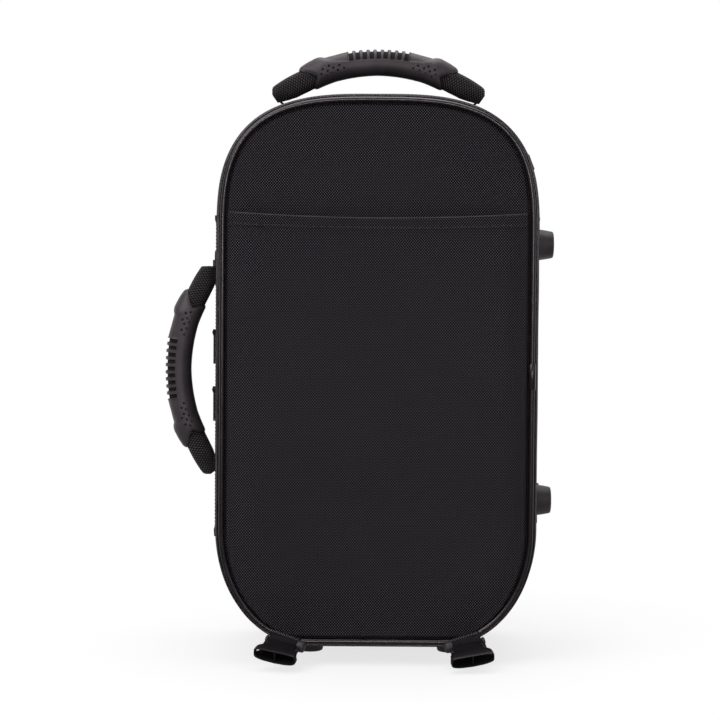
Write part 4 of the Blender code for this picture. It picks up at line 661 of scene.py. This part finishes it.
def make_hem():
    """The hem folded over at the pocket's mouth, sewn down with one row of stitches, with a lighter cord along
    the fold as a painted highlight.
    """
    reach, steps = half_width_at(POCKET_MOUTH) - 0.0047, 90
    stations = [-reach + 2 * reach * i / steps for i in range(steps + 1)]
    fold = ((-0.0009, -0.0007), (-0.0014, 0.0001), (-0.0014, 0.0008), (-0.0008, 0.0014), (0.0004, 0.0015),
            (0.0050, 0.0011), (0.0068, 0.0007), (0.0074, 0.0006), (0.0080, 0.0009), (0.0092, 0.0008),
            (0.0097, 0.0003), (0.0094, -0.0002))
    bm = skin([[mouth_place(x, *point) for point in fold] for x in stations])
    flat_uv(bm, bm.loops.layers.uv["cloth"])
    hem = piece(bm, "pocket_hem", POCKET_NYLON, "base")
    count = int(2 * reach / STITCH_PITCH)
    places = [(mouth_place(-reach + 2 * reach * (i + 0.5) / count, 0.0074, 0.0007), Vector((1, 0, 0)),
               Vector((0, -1, 0))) for i in range(count)]
    stitch_row("hem_stitches", places, "base", 0.0019, 0.00030, HEM_THREAD_AND_EDGE_HIGHLIGHT)
    # A thin cord in the lighter hem thread along the fold: a painted highlight where the folded edge catches
    # the light.
    edge = [[mouth_place(x, -0.0013, 0.0008) + Vector((0, cos(a), sin(a))) * 0.00045 for a in circle(8)]
            for x in stations]
    piece(skin(edge), "pocket_hem_painted_highlight", HEM_THREAD_AND_EDGE_HIGHLIGHT, "base", sharp=180)
    return hem


# Zip and hinge

def zip_samples():
    """Samples round the top, left side and bottom, from one end of the hinge to the other."""
    right = lambda s: s[0].x > MIDDLE + SIDE_FROM and HINGE_LOW - 0.003 < s[0].z < HINGE_HIGH + 0.003
    start = max(i for i, s in enumerate(SEAM) if right(s))
    ordered = SEAM[start + 1:] + SEAM[:start + 1]
    return [s for s in ordered if not right(s)]


def flat_band(name, samples, near, far, body, node):
    """A tape on the side wall between two depths."""
    section = ((near, TAPE_LOW), (near, TAPE_HIGH), ((near + far) / 2, TAPE_HIGH + 0.0001), (far, TAPE_HIGH),
               (far, TAPE_LOW))
    rings = [[on_side(s, *point) for point in section] for s in samples]
    piece(skin(rings), name, TAPE, body, (node,))


def coil(name, samples, edge, sign, body, node):
    """One half of the zip's coil: a row of small teeth."""
    bm = bmesh.new()
    for place, run, out in along_seam(edge + sign * 0.0014, 0.0019, COIL_PITCH, samples):
        run, out = run.normalized(), out.normalized()
        turn = Matrix((run, out.cross(run), out)).transposed().to_4x4()
        size = Matrix.Diagonal((0.00055, 0.0014, 0.0008, 1))
        bmesh.ops.create_icosphere(bm, subdivisions=1, radius=1,
                                   matrix=Matrix.Translation(place) @ turn @ size)
    piece(bm, name, COIL, body, (node,), sharp=180)


def make_zip():
    """The zip's two halves, the cloth hinge between its ends, and its sliders and pulls."""
    run, hinge = zip_samples(), side_samples(HINGE_LOW, HINGE_HIGH, 1)
    near, far = PARTING - PARTING_GAP / 2, PARTING + PARTING_GAP / 2
    for body, edge, sign in (("base", near, -1), ("lid", far, 1)):
        flat_band(body + "_zip_cloth", run, *sorted((edge, edge + sign * TAPE_WIDTH)), body, body + "_zip_tape")
        coil(body + "_coil", run, edge, sign, body, body + "_zip_chain")
        row = edge + sign * (TAPE_WIDTH - 0.0015)
        stitch_row(body + "_zip_stitches", along_seam(row, 0.0012, samples=run), body)
        stitch_row("hinge_" + body + "_stitches", along_seam(row, 0.0013, samples=hinge), body)
    depths = [near - TAPE_WIDTH + (2 * TAPE_WIDTH + PARTING_GAP) * i / 16 for i in range(17)]
    rings = [[on_side(s, y, TAPE_LOW) for y in depths] + [on_side(s, y, TAPE_HIGH) for y in depths[::-1]]
             for s in hinge]
    tape = piece(skin(rings), "hinge_cloth", STRAP, None, ("hinge_tape_base", "hinge_tape_lid"))
    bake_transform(tape)
    for part, ending in (("zip_slider_", "_body"), ("zip_pull_", "_tongue")):
        for place in ("upper", "lower"):
            refined(part + place, part + place + ending, BLACK_METAL, part + place, 0.0003)


# Straps, rings and feet

def make_strap(name, low, side, node):
    """A reinforcing strap sewn up one side, folded double at both ends."""
    samples = side_samples(low, POCKET_MOUTH, side)
    depths = [STRAP_Y - STRAP_HALF + 2 * STRAP_HALF * i / 12 for i in range(13)]
    rings = []
    for s in samples:
        z = s[0].z
        fold = 0.0012 * (soft_rise((z - POCKET_MOUTH + 0.006) / 0.002) + soft_rise((low + 0.008 - z) / 0.002))
        over = [on_side(s, y, 0.0019 - 0.0005 * abs((y - STRAP_Y) / STRAP_HALF) ** 6 + fold)
                for y in depths[::-1]]
        rings.append([on_side(s, y, 0.0002) for y in depths] + over)
    piece(skin(rings), name, STRAP, "base", (node,))
    for end, sign in (("front", -1), ("back", 1)):
        row = along_seam(STRAP_Y + sign * (STRAP_HALF - 0.002), 0.0018, samples=samples)
        stitch_row(name + "_stitches_" + end, row, "base")


def spun(profile, sides, matrix):
    """A turned shape from a profile of (radius, height), closed where it meets the axis."""
    bm = bmesh.new()
    verts = [bm.verts.new((r, 0, z)) for r, z in profile]
    edges = [bm.edges.new(pair) for pair in zip(verts, verts[1:])]
    bmesh.ops.spin(bm, geom=verts + edges, cent=(0, 0, 0), axis=(0, 0, 1), angle=2 * pi, steps=sides,
                   use_merge=True)
    bmesh.ops.remove_doubles(bm, verts=bm.verts, dist=1e-6)
    bmesh.ops.recalc_face_normals(bm, faces=bm.faces)
    bm.transform(matrix)
    return bm


def block(place, size, bm=None, matrix=Matrix()):
    """Adds a box to a bmesh."""
    bm = bm or bmesh.new()
    place = matrix @ Matrix.Translation(place) @ Matrix.Diagonal((*size, 1))
    bmesh.ops.create_cube(bm, size=1, matrix=place)
    return bm


def facing(place, out):
    """A frame whose Z points out of the case and whose X runs along its depth."""
    out = out.normalized()
    across = Vector((0, 1, 0))
    return Matrix.Translation(place) @ Matrix((across, out.cross(across), out)).transposed().to_4x4()


def make_foot(node, screw, place, out, sunk):
    """A tapered rubber foot with a moulded ring and a countersunk cross-head screw."""
    tall, wide, tip = (0.0118, 0.0126, 0.0107) if sunk else (0.0126, 0.0130, 0.0109)
    matrix, low = facing(place, out), tall - 0.0034
    profile = [(0.0, -sunk), (wide - 0.0004, -sunk), (wide, 0.0004 - sunk), (wide, 0.0008),
               (wide - 0.0002, 0.0014), (wide - 0.0009, 0.0060), (tip + 0.0003, tall - 0.0016),
               (tip, tall - 0.0008), (tip - 0.0005, tall - 0.0002), (tip - 0.0013, tall), (0.0056, tall),
               (0.0050, tall - 0.0004), (0.0047, low), (0.0, low)]
    piece(spun(profile, 56, matrix), node + "_rubber", FOOT_RUBBER, "base", (node,), sharp=30)
    head = [(0.0, low), (0.0041, low), (0.0042, low + 0.0007), (0.0038, low + 0.0014), (0.0025, low + 0.0019),
            (0.0, low + 0.0021)]
    bm = spun(head, 32, matrix)
    for turned in (0, 90):
        turn = matrix @ Matrix.Rotation(radians(turned), 4, "Z")
        block((0, 0, low + 0.00205), (0.0038, 0.0007, 0.0004), bm, turn)
    piece(bm, screw + "_head", BLACK_METAL, "base", (screw,), sharp=30)


def make_feet():
    for end in ("lower", "upper"):
        low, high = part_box("side_foot_" + end)
        height = (low.z + high.z) / 2
        near = side_samples(height - 0.006, height + 0.006, 1)[2]
        place = on_side(near, STRAP_Y, STRAP_TOP)
        place.z = height
        make_foot("side_foot_" + end, "side_foot_screw_" + end, place, near[1], 0.0)
    for end in ("left", "right"):
        low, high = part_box("bottom_foot_" + end)
        place = Vector(((low.x + high.x) / 2, STRAP_Y, 0.0118))
        make_foot("bottom_foot_" + end, "bottom_foot_screw_" + end, place, Vector((0, 0, -1)), 0.004)


def ring_place(name):
    """The ring's bar, the way out of the case and the way along the bar."""
    bar, along = PIVOTS[name], AXES[name].normalized()
    out = along.cross(Vector((0, 1, 0))).normalized()
    return bar, out if (bar.x - MIDDLE) * out.x >= 0 else -out, along


RING_WIRE, RING_HALF, RING_REACH, RING_CORNER = 0.0017, 0.0138, 0.0111, 0.007
TAB_THICK, TAB_HALF, TAB_CLEAR = 0.0011, 0.00675, 0.00035


def make_ring(name):
    """A D ring of round wire, its bar in a folded tab and its loop towards the zip."""
    bar, out, along = ring_place(name)
    deep = Vector((0, 1, 0))
    path = [Vector((x, 0)) for x in (-0.0105, -0.006, 0, 0.006, 0.0105)]
    path += [Vector((RING_HALF - 0.0016, 0.0004)), Vector((RING_HALF - 0.0003, 0.0018))]
    heart = Vector((RING_HALF - RING_CORNER, RING_REACH - RING_CORNER))
    path += [heart + RING_CORNER * Vector((cos(a), sin(a))) for a in circle(48)[:13]]
    path += [Vector((-p.x, p.y)) for p in path[:4:-1]]
    rings = []
    for i, p in enumerate(path):
        run = path[(i + 1) % len(path)] - path[i - 1]
        side = Vector((run.y, -run.x)).normalized() * RING_WIRE
        flats = [(p + side * cos(a), RING_WIRE * sin(a)) for a in circle(14)]
        rings.append([bar + along * flat.x + deep * flat.y + out * rise for flat, rise in flats])
    piece(skin(rings, along=True), name + "_wire", BLACK_METAL, name, (name,), sharp=180)
    tab = name.replace("ring", "ring_tab")
    bend = RING_WIRE + TAB_CLEAR + TAB_THICK / 2
    path = [(-0.0078, -bend), (-0.005, -bend), (-bend, -bend)]
    path += [(bend * sin(a), -bend * cos(a)) for a in circle(28)[:15]]
    path += [(-bend * 0.7, bend * 0.98), (-bend * 1.5, bend * 0.5), (-0.0058, -bend + 0.0017),
             (-0.0078, -bend + 0.0014)]
    rings = []
    for i, (y, z) in enumerate(path):
        run = Vector(path[min(len(path) - 1, i + 1)]) - Vector(path[max(0, i - 1)])
        side = Vector((-run.y, run.x)).normalized() * TAB_THICK / 2
        rings.append([bar + along * TAB_HALF * x + deep * (y + side.x * t) + out * (z + side.y * t)
                      for x, t in ((-1, 1), (-0.93, 1.15), (0.93, 1.15), (1, 1), (1, -1), (-1, -1))])
    piece(skin(rings), tab + "_web", RING_WEB, "base", (tab,))


# Carrying handles

def mix(pairs, value):
    """A value read off a broken line of (where, value)."""
    if value <= pairs[0][0]:
        return pairs[0][1]
    for (a, p), (b, q) in zip(pairs, pairs[1:]):
        if value <= b:
            return p + (q - p) * (value - a) / (b - a)
    return pairs[-1][1]


# Read off by the angle from the handle's middle, in degrees, or by the share of the section's height
OUTER = ((0, 0.0103), (9.4, 0.0105), (9.7, 0.0114), (13, 0.0108), (16.2, 0.0107), (17.2, 0.0121),
         (18.4, 0.0127), (21.7, 0.0115), (24.2, 0.0100), (24.7, 0.0088))
INNER = ((0, 0.0099), (15, 0.0106), (21.5, 0.0119), (25, 0.0110))
GRIP_END = ((-1.0, 22.2), (-0.30, 19.9), (0.80, GRIP_ANGLE), (1.0, GRIP_ANGLE))
CREASE = ((-1.0, 22.1), (-0.30, 19.6), (0.30, 18.2), (1.0, 16.8))
PLATE_EDGE = ((0, 0.24), (9.5, 0.22), (13.5, 0.36), (15.2, 0.60), (16.6, 1.02), (30, 1.02))
RIB_PITCH = 2.12
DIMPLES = ((17.8, 0.9), (15.6, 2.2), (14.45, -0.3), (12.4, 0.6), (11.1, -2.3), (13.2, -2.85), (16.4, -1.6),
           (15.3, -4.0), (18.6, -2.6), (17.4, -5.1))    # angle, and millimetres out from the arc


def handle_place(angle, out, across, rise):
    """A place in the handle's own frame: X along, Y across, Z away from the case."""
    a = radians(angle)
    r = ARC_RADIUS + out
    return Vector((r * sin(a), across, rise - ARC_RADIUS + r * cos(a)))


def rounded(angle, power):
    """Height and width shares of a rounded box's section, from its top."""
    c, s = cos(angle), sin(angle)
    return copysign(abs(c) ** (2 / power), c), copysign(abs(s) ** (2 / power), s)


def section_angles():
    """Closely set round the pockets' feet, even elsewhere."""
    half = [0, 7, 14, 21, 27, 33, 39, 45, 51, 56, 61, 66, 71, 75, 77.6, 79.6, 81.6, 84, 87, 92, 99, 106, 114,
            122, 131, 140, 150, 160, 170]
    return [radians(a) for a in half + [180] + [360 - a for a in reversed(half[1:])]]


def pocket_share(angle):
    """One at the heart of a pocket between two ribs, nought on the ribs."""
    if abs(angle) > 4.6 * RIB_PITCH:
        return 0.0
    phase = abs(angle / RIB_PITCH - round(angle / RIB_PITCH))
    return 1 - soft_rise((phase - 0.23) / 0.07)


def grip_point(share, phi, rise):
    """A place on the grip's skin, from its share of the length and its angle round the section."""
    high, wide = rounded(phi, 2.5)
    end = mix(GRIP_END, high)
    angle = share * (end + (GRIP_ANGLE - end) * (1 - soft_rise((abs(share) - 0.40) / 0.35)))
    spread = abs(angle)
    facet = max(0.0, min(1.0, (spread - mix(CREASE, high)) / 5.0))
    lip = soft_rise((abs(share) - 0.955) / 0.045)
    reach = mix(OUTER if high > 0 else INNER, spread) - 0.0005 * lip
    half = 0.0130 * (1 + 0.07 * soft_rise(spread / 17)) * (1 - 0.26 * facet) - 0.0008 * lip
    plate = soft_rise((high - mix(PLATE_EDGE, spread)) / 0.05)
    pocket = pocket_share(angle) * plate
    ribs = plate * (1 - soft_rise((spread - 9.35) / 0.35))
    out = high * reach + (0.0012 * ribs * (1 - pocket) - 0.0004 * pocket) * max(0.0, high)
    across = wide * (half - 0.0008 * plate * (1 - ribs) - 0.0019 * pocket)
    return handle_place(angle, out, across, rise)


def grip_rings(rise):
    outer = [0.415, 0.44, 0.48, 0.52, 0.56, 0.60, 0.63, 0.655, 0.675, 0.69, 0.705, 0.72, 0.74, 0.77, 0.80, 0.84,
             0.88, 0.92, 0.955, 0.975, 0.99, 1.0]
    fine = [(-4.72 + 9.44 * i / 118) * RIB_PITCH / GRIP_ANGLE for i in range(119)]
    shares = [-s for s in reversed(outer)] + fine + outer
    turns = section_angles()
    rings = [[grip_point(share, phi, rise) for phi in turns] for share in shares]
    ends = []
    for ring in (rings[0], rings[-1]):
        angles = [degrees(atan2(p.x, p.z - rise + ARC_RADIUS)) * 0.99 for p in ring]
        ends.append([handle_place(angle, -0.001 + 0.0085 * cos(phi), 0.0080 * sin(phi), rise)
                     for phi, angle in zip(turns, angles)])
    return [ends[0], *rings, ends[1]]


def dimple_cutter(rise):
    """Small countersunk pits on both flanks at both ends of the grip."""
    bm = bmesh.new()
    for end in (-1, 1):
        for angle, out in DIMPLES:
            for flank in (-1, 1):
                start = handle_place(end * angle, out / 1000, flank * 0.0137, rise)
                turn = Matrix.Rotation(radians(-90 * flank), 4, "X")
                bmesh.ops.create_cone(bm, cap_ends=True, segments=14, radius1=0.0005, radius2=0.0016,
                                      depth=0.0042, matrix=Matrix.Translation(start) @ turn)
    return object_of(bm, "pits")


def paint_pocket_shade(mesh, rise):
    """Marks how far each point lies in a pocket between the ribs, for the painted shade and dark webbing in the
    grip's finish.
    """
    mark = mesh.attributes.new("pocket", "FLOAT", "POINT")
    for v, value in zip(mesh.vertices, mark.data):
        x, z = v.co.x, v.co.z - rise + ARC_RADIUS
        angle, out = degrees(atan2(x, z)), hypot(x, z) - ARC_RADIUS
        value.value = pocket_share(angle) * soft_rise((out - 0.0020) / 0.0012)


def make_grip(name, rise, matrix):
    body = piece(skin(grip_rings(rise)), name + "_grip_rubber", GRIP, None, sharp=34)
    shaped = cut_away(body, dimple_cutter(rise))
    # Marks the pockets for the painted shade in the grip's finish.
    paint_pocket_shade(shaped, rise)
    shaped.transform(matrix)
    shade_round(shaped, 34)
    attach(body, name)
    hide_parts(name + "_grip")


WEB_END = 0.0880          # where the webbing is cut off, from the handle's middle
WEB_OUTER = ((0, 0.0058), (18, 0.0058), (23, 0.0074), (29, 0.0073), (33, 0.0070), (35.5, 0.0060))
WEB_INNER = ((0, 0.0058), (18, 0.0062), (21, 0.0104), (25, 0.0110), (29, 0.0109), (32, 0.0094), (35.5, 0.0064))
WEB_HALF = ((0, 0.0080), (18, 0.0082), (23, 0.0092), (28, 0.0090), (32, 0.0076), (35.5, 0.0064))


def make_webbing(name, rise, matrix, top_end):
    """Thick tubular webbing through the grip, cut off square at both ends and sewn to thin tails."""
    rings = []
    for i in range(-50, 51):
        angle = i * 0.71
        ring = []
        for phi in circle(36):
            up, aside = rounded(phi, 2.7)
            reach = mix(WEB_OUTER if up > 0 else WEB_INNER, abs(angle))
            narrow = 1 - 0.45 * soft_rise((abs(angle) - 29) / 5) * soft_rise(-up)
            p = handle_place(angle, up * reach, aside * narrow * mix(WEB_HALF, abs(angle)), rise)
            p.x = max(-WEB_END, min(top_end, p.x))
            ring.append(p)
        rings.append(ring)
    for i in (0, -1):
        heart = sum(rings[i], Vector()) / 36
        rings[i] = [heart.lerp(p, 0.95) for p in rings[i]]
    piece(skin(rings), name + "_knit", KNIT, name, (name + "_webbing",), transform=matrix, sharp=50)
    for side, end in ((-1, "_a"), (1, "_b")):
        make_tail(name, side, end, rise, matrix)


def make_tail(name, side, end, rise, matrix):
    """The thin doubled strap that ties the webbing's end down to its anchor."""
    tip = ARC_RADIUS * sin(radians(TAIL_ANGLE)) - 0.0005
    top = handle_place(TAIL_ANGLE * side, -0.0012, 0, rise).z
    path = [Vector((side * x, 0, z)) for x, z in ((0.0845, top), (0.0846, top * 0.72), (0.0832, top * 0.42),
                                                  (0.0808, top * 0.16), (tip, 0.0002))]
    rings = []
    for i, width in enumerate((0.0046, 0.0044, 0.0034, 0.0021, 0.0012)):
        p = path[i]
        run = (path[min(4, i + 1)] - path[max(0, i - 1)]).normalized()
        thick = Vector((run.z, 0, -run.x)) * 0.0009
        across = Vector((0, width, 0))
        rings.append([p + thick * t + across * w
                      for t, w in ((0.9, 1), (1, 0.8), (1, -0.8), (0.9, -1), (-0.9, -1), (-0.9, 1))])
    piece(skin(rings), name + "_strap" + end, STRAP, name, (name + "_tail" + end,), transform=matrix)


def make_handles():
    top = Matrix.Translation(PIVOTS["top_handle"])
    aside = Matrix(((0, 0, -1, 0), (0, 1, 0, 0), (1, 0, 0, 0), (0, 0, 0, 1)))
    aside = Matrix.Translation(PIVOTS["side_handle"]) @ aside
    drop = ARC_RADIUS * (1 - cos(radians(TAIL_ANGLE)))
    for name, matrix, lift, cut in (("top_handle", top, 0.0112, WEB_END),
                                    ("side_handle", aside, 0.0057, 0.0852)):
        make_webbing(name, drop + lift, matrix, cut)
        make_grip(name, drop + lift, matrix)
        for anchor in (name + "_anchor_a", name + "_anchor_b"):
            refined(anchor, anchor + "_web", TAB_WEB, "base", 0.0005, 3)


# Buckles

def buckle_matrix(side):
    """The buckle's own frame: X from its bar to its mouth, Y across, Z through its thickness."""
    yaw, pitch, roll = map(radians, (-19, 19, -9) if side == "left" else (13, 24, 9))
    forward = Vector((sin(yaw) * cos(pitch), -cos(yaw) * cos(pitch), -sin(pitch)))
    level = Vector((0, 0, 1)).cross(forward).normalized()
    across = (level * cos(roll) + forward.cross(level) * sin(roll)).normalized()
    up = forward.cross(across).normalized()
    return Matrix.Translation(PIVOTS["buckle_" + side]) @ Matrix((forward, across, up)).transposed().to_4x4()


def buckle_ring(x, half, high, belly):
    """A rounded box's section, its lower side bowed down by belly."""
    ring = []
    for phi in circle(44):
        up, aside = rounded(phi, 5.6)
        drop = belly * (1 - aside * aside) if up < 0 else 0
        ring.append(Vector((x, aside * half, up * high - drop)))
    return ring


def buckle_shell():
    """Narrow waist, flared mouth with a curved lower lip, and thin walls round the cavity."""
    outside = ((0.0036, 0.0117, 0.0030, 0), (0.0042, 0.0124, 0.0035, 0), (0.0075, 0.0122, 0.0038, 0.0001),
               (0.0100, 0.0122, 0.0040, 0.0004), (0.0118, 0.0129, 0.0042, 0.0007),
               (0.0136, 0.0148, 0.0044, 0.0010), (0.0152, 0.0166, 0.0045, 0.0013),
               (0.0168, 0.0172, 0.0046, 0.0015), (0.0190, 0.0175, 0.0046, 0.0016),
               (0.0219, 0.0175, 0.0046, 0.0017), (0.0226, 0.0173, 0.0044, 0.0017))
    inside = ((0.0227, 0.0166, 0.0037, 0.0017), (0.0221, 0.0163, 0.0035, 0.0016),
              (0.0170, 0.0158, 0.0034, 0.0013), (0.0146, 0.0136, 0.0032, 0.0009),
              (0.0122, 0.0114, 0.0030, 0.0005), (0.0070, 0.0108, 0.0026, 0))
    return skin([buckle_ring(*station) for station in outside + inside])


def cut_windows(obj):
    """The openings in the shoulders, where the plug's prongs would click out."""
    bm = bmesh.new()
    for side in (-1, 1):
        block((0.0148, side * 0.0168, 0.0004), (0.0084, 0.0074, 0.0050), bm)
    cut_away(obj, object_of(bm, "windows"))


def make_buckle(side):
    """A strap buckle's socket and the webbing tab that carries it."""
    name, tab = "buckle_" + side, "buckle_tab_" + side
    matrix = buckle_matrix(side)
    shell = piece(buckle_shell(), name + "_socket", PLASTIC, name, (name,), sharp=45)
    cut_windows(shell)
    shell.data.transform(matrix)
    shell.data.set_sharp_from_angle(angle=radians(45))

    def add_part(bm, ending, finish=PLASTIC, edge=0.0, steps=1, sharp=40, place=matrix):
        if edge:
            bmesh.ops.bevel(bm, geom=bm.edges[:], offset=edge, segments=steps, profile=0.5, affect="EDGES",
                            material=-1)
        piece(bm, name + ending, finish, name, transform=place, sharp=sharp)

    add_part(block((0.0146, 0, -0.0006), (0.0150, 0.0009, 0.0074)), "_rib", edge=0.0002)
    inner = 1 if side == "left" else -1
    for way, end in ((-1, "_left"), (1, "_right")):
        radius, thick, start = (0.0046, 0.0060, 0.0114) if way == inner else (0.0036, 0.0024, 0.0131)
        profile = [(0, 0), (radius - 0.0008, 0), (radius - 0.0002, 0.0003), (radius, 0.0009),
                   (radius, thick - 0.0014), (radius - 0.0004, thick - 0.0005), (radius - 0.0014, thick),
                   (0, thick + 0.0001)]
        turn = Matrix.Translation((0, way * start, 0)) @ Matrix.Rotation(radians(-90 * way), 4, "X")
        # The lobes take the lighter plastic as a painted sheen.
        add_part(spun(profile, 40, turn), "_lobe" + end, LOBE_PLASTIC_PAINTED_SHEEN, sharp=30)
        add_part(block((0.0052, way * 0.0133, 0), (0.0096, 0.0024, 0.0034)), "_arm" + end, edge=0.0005, steps=2)
    turn = Vector((0, 0, 1)).rotation_difference(AXES[name]).to_matrix().to_4x4()
    bar = spun([(0, -0.0136), (0.0015, -0.0136), (0.0015, 0.0136), (0, 0.0136)], 24, turn)
    add_part(bar, "_bar", place=Matrix.Translation(PIVOTS[name]))
    refined(tab, tab + "_web", TAB_WEB, "base", 0.0004, 2, 50)
    make_tab_stitches(side)


def make_tab_stitches(side):
    """The slanted stitches that hold a buckle's tab down over the piping."""
    want = MIDDLE + (BUCKLE_SPREAD if side == "right" else -BUCKLE_SPREAD)
    low = [s for s in SEAM if s[0].z < SEAM_LOW + BOTTOM_END]
    near = min(low, key=lambda s: abs(s[0].x - want))
    along = Vector((near[1].z, 0, -near[1].x))
    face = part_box("buckle_tab_" + side)[1].y - 0.0017
    places = []
    for i in range(17):
        place = near[0] - near[1] * 0.0022 + along * 0.0014 * (i - 8)
        place.y = face
        places.append((place, near[1] + along * (0.3 if i % 2 else 0.05), Vector((0, -1, 0))))
    stitch_row("buckle_tab_stitches_" + side, places, "base", 0.0026, 0.00030, PALE_THREAD)


# Inside

def make_inside():
    softened("base_lining", "base_padding", "base", 0.0022, 2)
    softened("lid_lining", "lid_padding", "lid", 0.0022, 2)
    for node in ("cradle_slab", "cradle_lower", "cradle_upper", "cradle_left", "cradle_right"):
        softened(node, node + "_foam", "base", 0.003, 3, 0.0001)
    softened("box_cover", "box_cover_pad", "box_cover", 0.0016, 3)
    softened("mouthpiece_holder", "mouthpiece_foam", "base", 0.0016, 3)
    refined("box_cover_tab", "box_cover_loop", TAB_WEB, "box_cover", 0.0003)


# Studio

def make_camera():
    data = bpy.data.cameras.new("camera")
    data.lens, data.sensor_width = 100, 36
    camera = new_object("camera", data)
    aim, stand = Vector((0.0008, -0.063, 0.2464)), Vector((0.0008, -1.662, 0.312))
    turn = (aim - stand).to_track_quat("-Z", "Y").to_matrix().to_4x4() @ Matrix.Rotation(radians(0.42), 4, "Z")
    camera.location, camera.rotation_euler = stand, turn.to_euler()
    bpy.context.scene.camera = camera


def make_floor():
    """A white floor that keeps the case's shadow and turns plain white further out."""
    bm = bmesh.new()
    bmesh.ops.create_grid(bm, x_segments=2, y_segments=2, size=8)
    floor = object_of(bm, "floor")
    paint = bpy.data.materials.new("white floor")
    floor.data.materials.append(paint)
    paint.use_nodes = True
    tree = paint.node_tree
    cloth = tree.nodes["Principled BSDF"]
    for socket, value in (("Base Color", (0.88, 0.88, 0.88, 1)), ("Roughness", 0.9),
                          ("Specular IOR Level", 0.0)):
        cloth.inputs[socket].default_value = value
    place = add_node(tree, "TexCoord", out=3)
    reach = add_node(tree, "VectorMath", place, out=1, operation="LENGTH")
    rays = tree.nodes.new("ShaderNodeLightPath").outputs
    axes = add_node(tree, "SeparateXYZ", place).node.outputs
    far = add_node(tree, "MapRange", reach, 0.20, 0.42, 0.75, 1.0)
    seen = add_node(tree, "Math", rays["Is Camera Ray"], rays["Is Transmission Ray"], operation="MAXIMUM")
    plain = add_node(tree, "Math", far, seen, operation="MULTIPLY")
    plain = add_node(tree, "Math", plain, rays["Is Glossy Ray"], operation="MAXIMUM")
    lit = add_node(tree, "MapRange", axes["Y"], -0.1, 0.4, 0.12, 1.0)
    glow = add_node(tree, "Emission", (1, 1, 1, 1), add_node(tree, "Math", lit, seen, operation="MAXIMUM"))
    both = add_node(tree, "MixShader", plain, cloth.outputs[0], glow)
    tree.links.new(both, tree.nodes["Material Output"].inputs[0])


def make_backdrop():
    """A white surround: bright behind the case, dim to glossy rays on the camera's side."""
    world = bpy.context.scene.world or bpy.data.worlds.new("world")
    bpy.context.scene.world = world
    world.use_nodes = True
    tree = world.node_tree
    back = tree.nodes["Background"]
    back.inputs[0].default_value = (1, 1, 1, 1)
    rays = tree.nodes.new("ShaderNodeLightPath").outputs
    axes = add_node(tree, "SeparateXYZ", add_node(tree, "TexCoord")).node.outputs
    behind = add_node(tree, "MapRange", axes["Y"], 0.05, 0.5, 0.0, 1.0)
    glossy = add_node(tree, "Math", rays["Is Glossy Ray"], behind, operation="MULTIPLY")
    seen = add_node(tree, "Math", rays["Is Camera Ray"], glossy, operation="MAXIMUM")
    seen = add_node(tree, "Math", seen, rays["Is Transmission Ray"], operation="MAXIMUM")
    dim = add_node(tree, "MapRange", behind, 0.0, 1.0, 0.36, 0.60)
    shiny = add_node(tree, "MapRange", rays["Is Glossy Ray"], 0.0, 1.0, 1.0, 0.35)
    dim = add_node(tree, "Math", dim, shiny, operation="MULTIPLY")
    tree.links.new(add_node(tree, "MapRange", seen, 0.0, 1.0, dim, 1.0), back.inputs[1])


def make_studio():
    make_floor()
    make_backdrop()
    for name, place, size, power, target in (
        ("key light", (-1.1, -1.3, 1.7), 1.5, 27, (0, 0, 0.25)),
        ("fill light", (1.5, -1.5, 0.8), 0.8, 3, (0, 0, 0.25)),
        ("front light", (0.05, -1.95, 0.42), 0.40, 6, (0, 0, 0.25)),
        ("top light", (0.1, 0.1, 2.0), 1.6, 24, (0, 0, 0.3)),
    ):
        data = bpy.data.lights.new(name, "AREA")
        data.shape, data.size, data.energy = "SQUARE", size, power
        light = new_object(name, data)
        light.location = place
        light.rotation_euler = (Vector(target) - Vector(place)).to_track_quat("-Z", "Y").to_euler()
    bpy.context.scene.view_settings.view_transform = "Standard"


make_camera()
make_studio()
make_shells()
make_splice()
make_pocket()
make_zip()
make_strap("left_strap", SEAM_LOW + 0.078, -1, "side_strap_left")
make_strap("right_strap", SEAM_LOW + 0.090, 1, "side_strap_right")
make_feet()
for ring_name in ("ring_upper_right", "ring_lower_right", "ring_upper_left"):
    make_ring(ring_name)
make_handles()
for side_name in ("left", "right"):
    make_buckle(side_name)
make_inside()
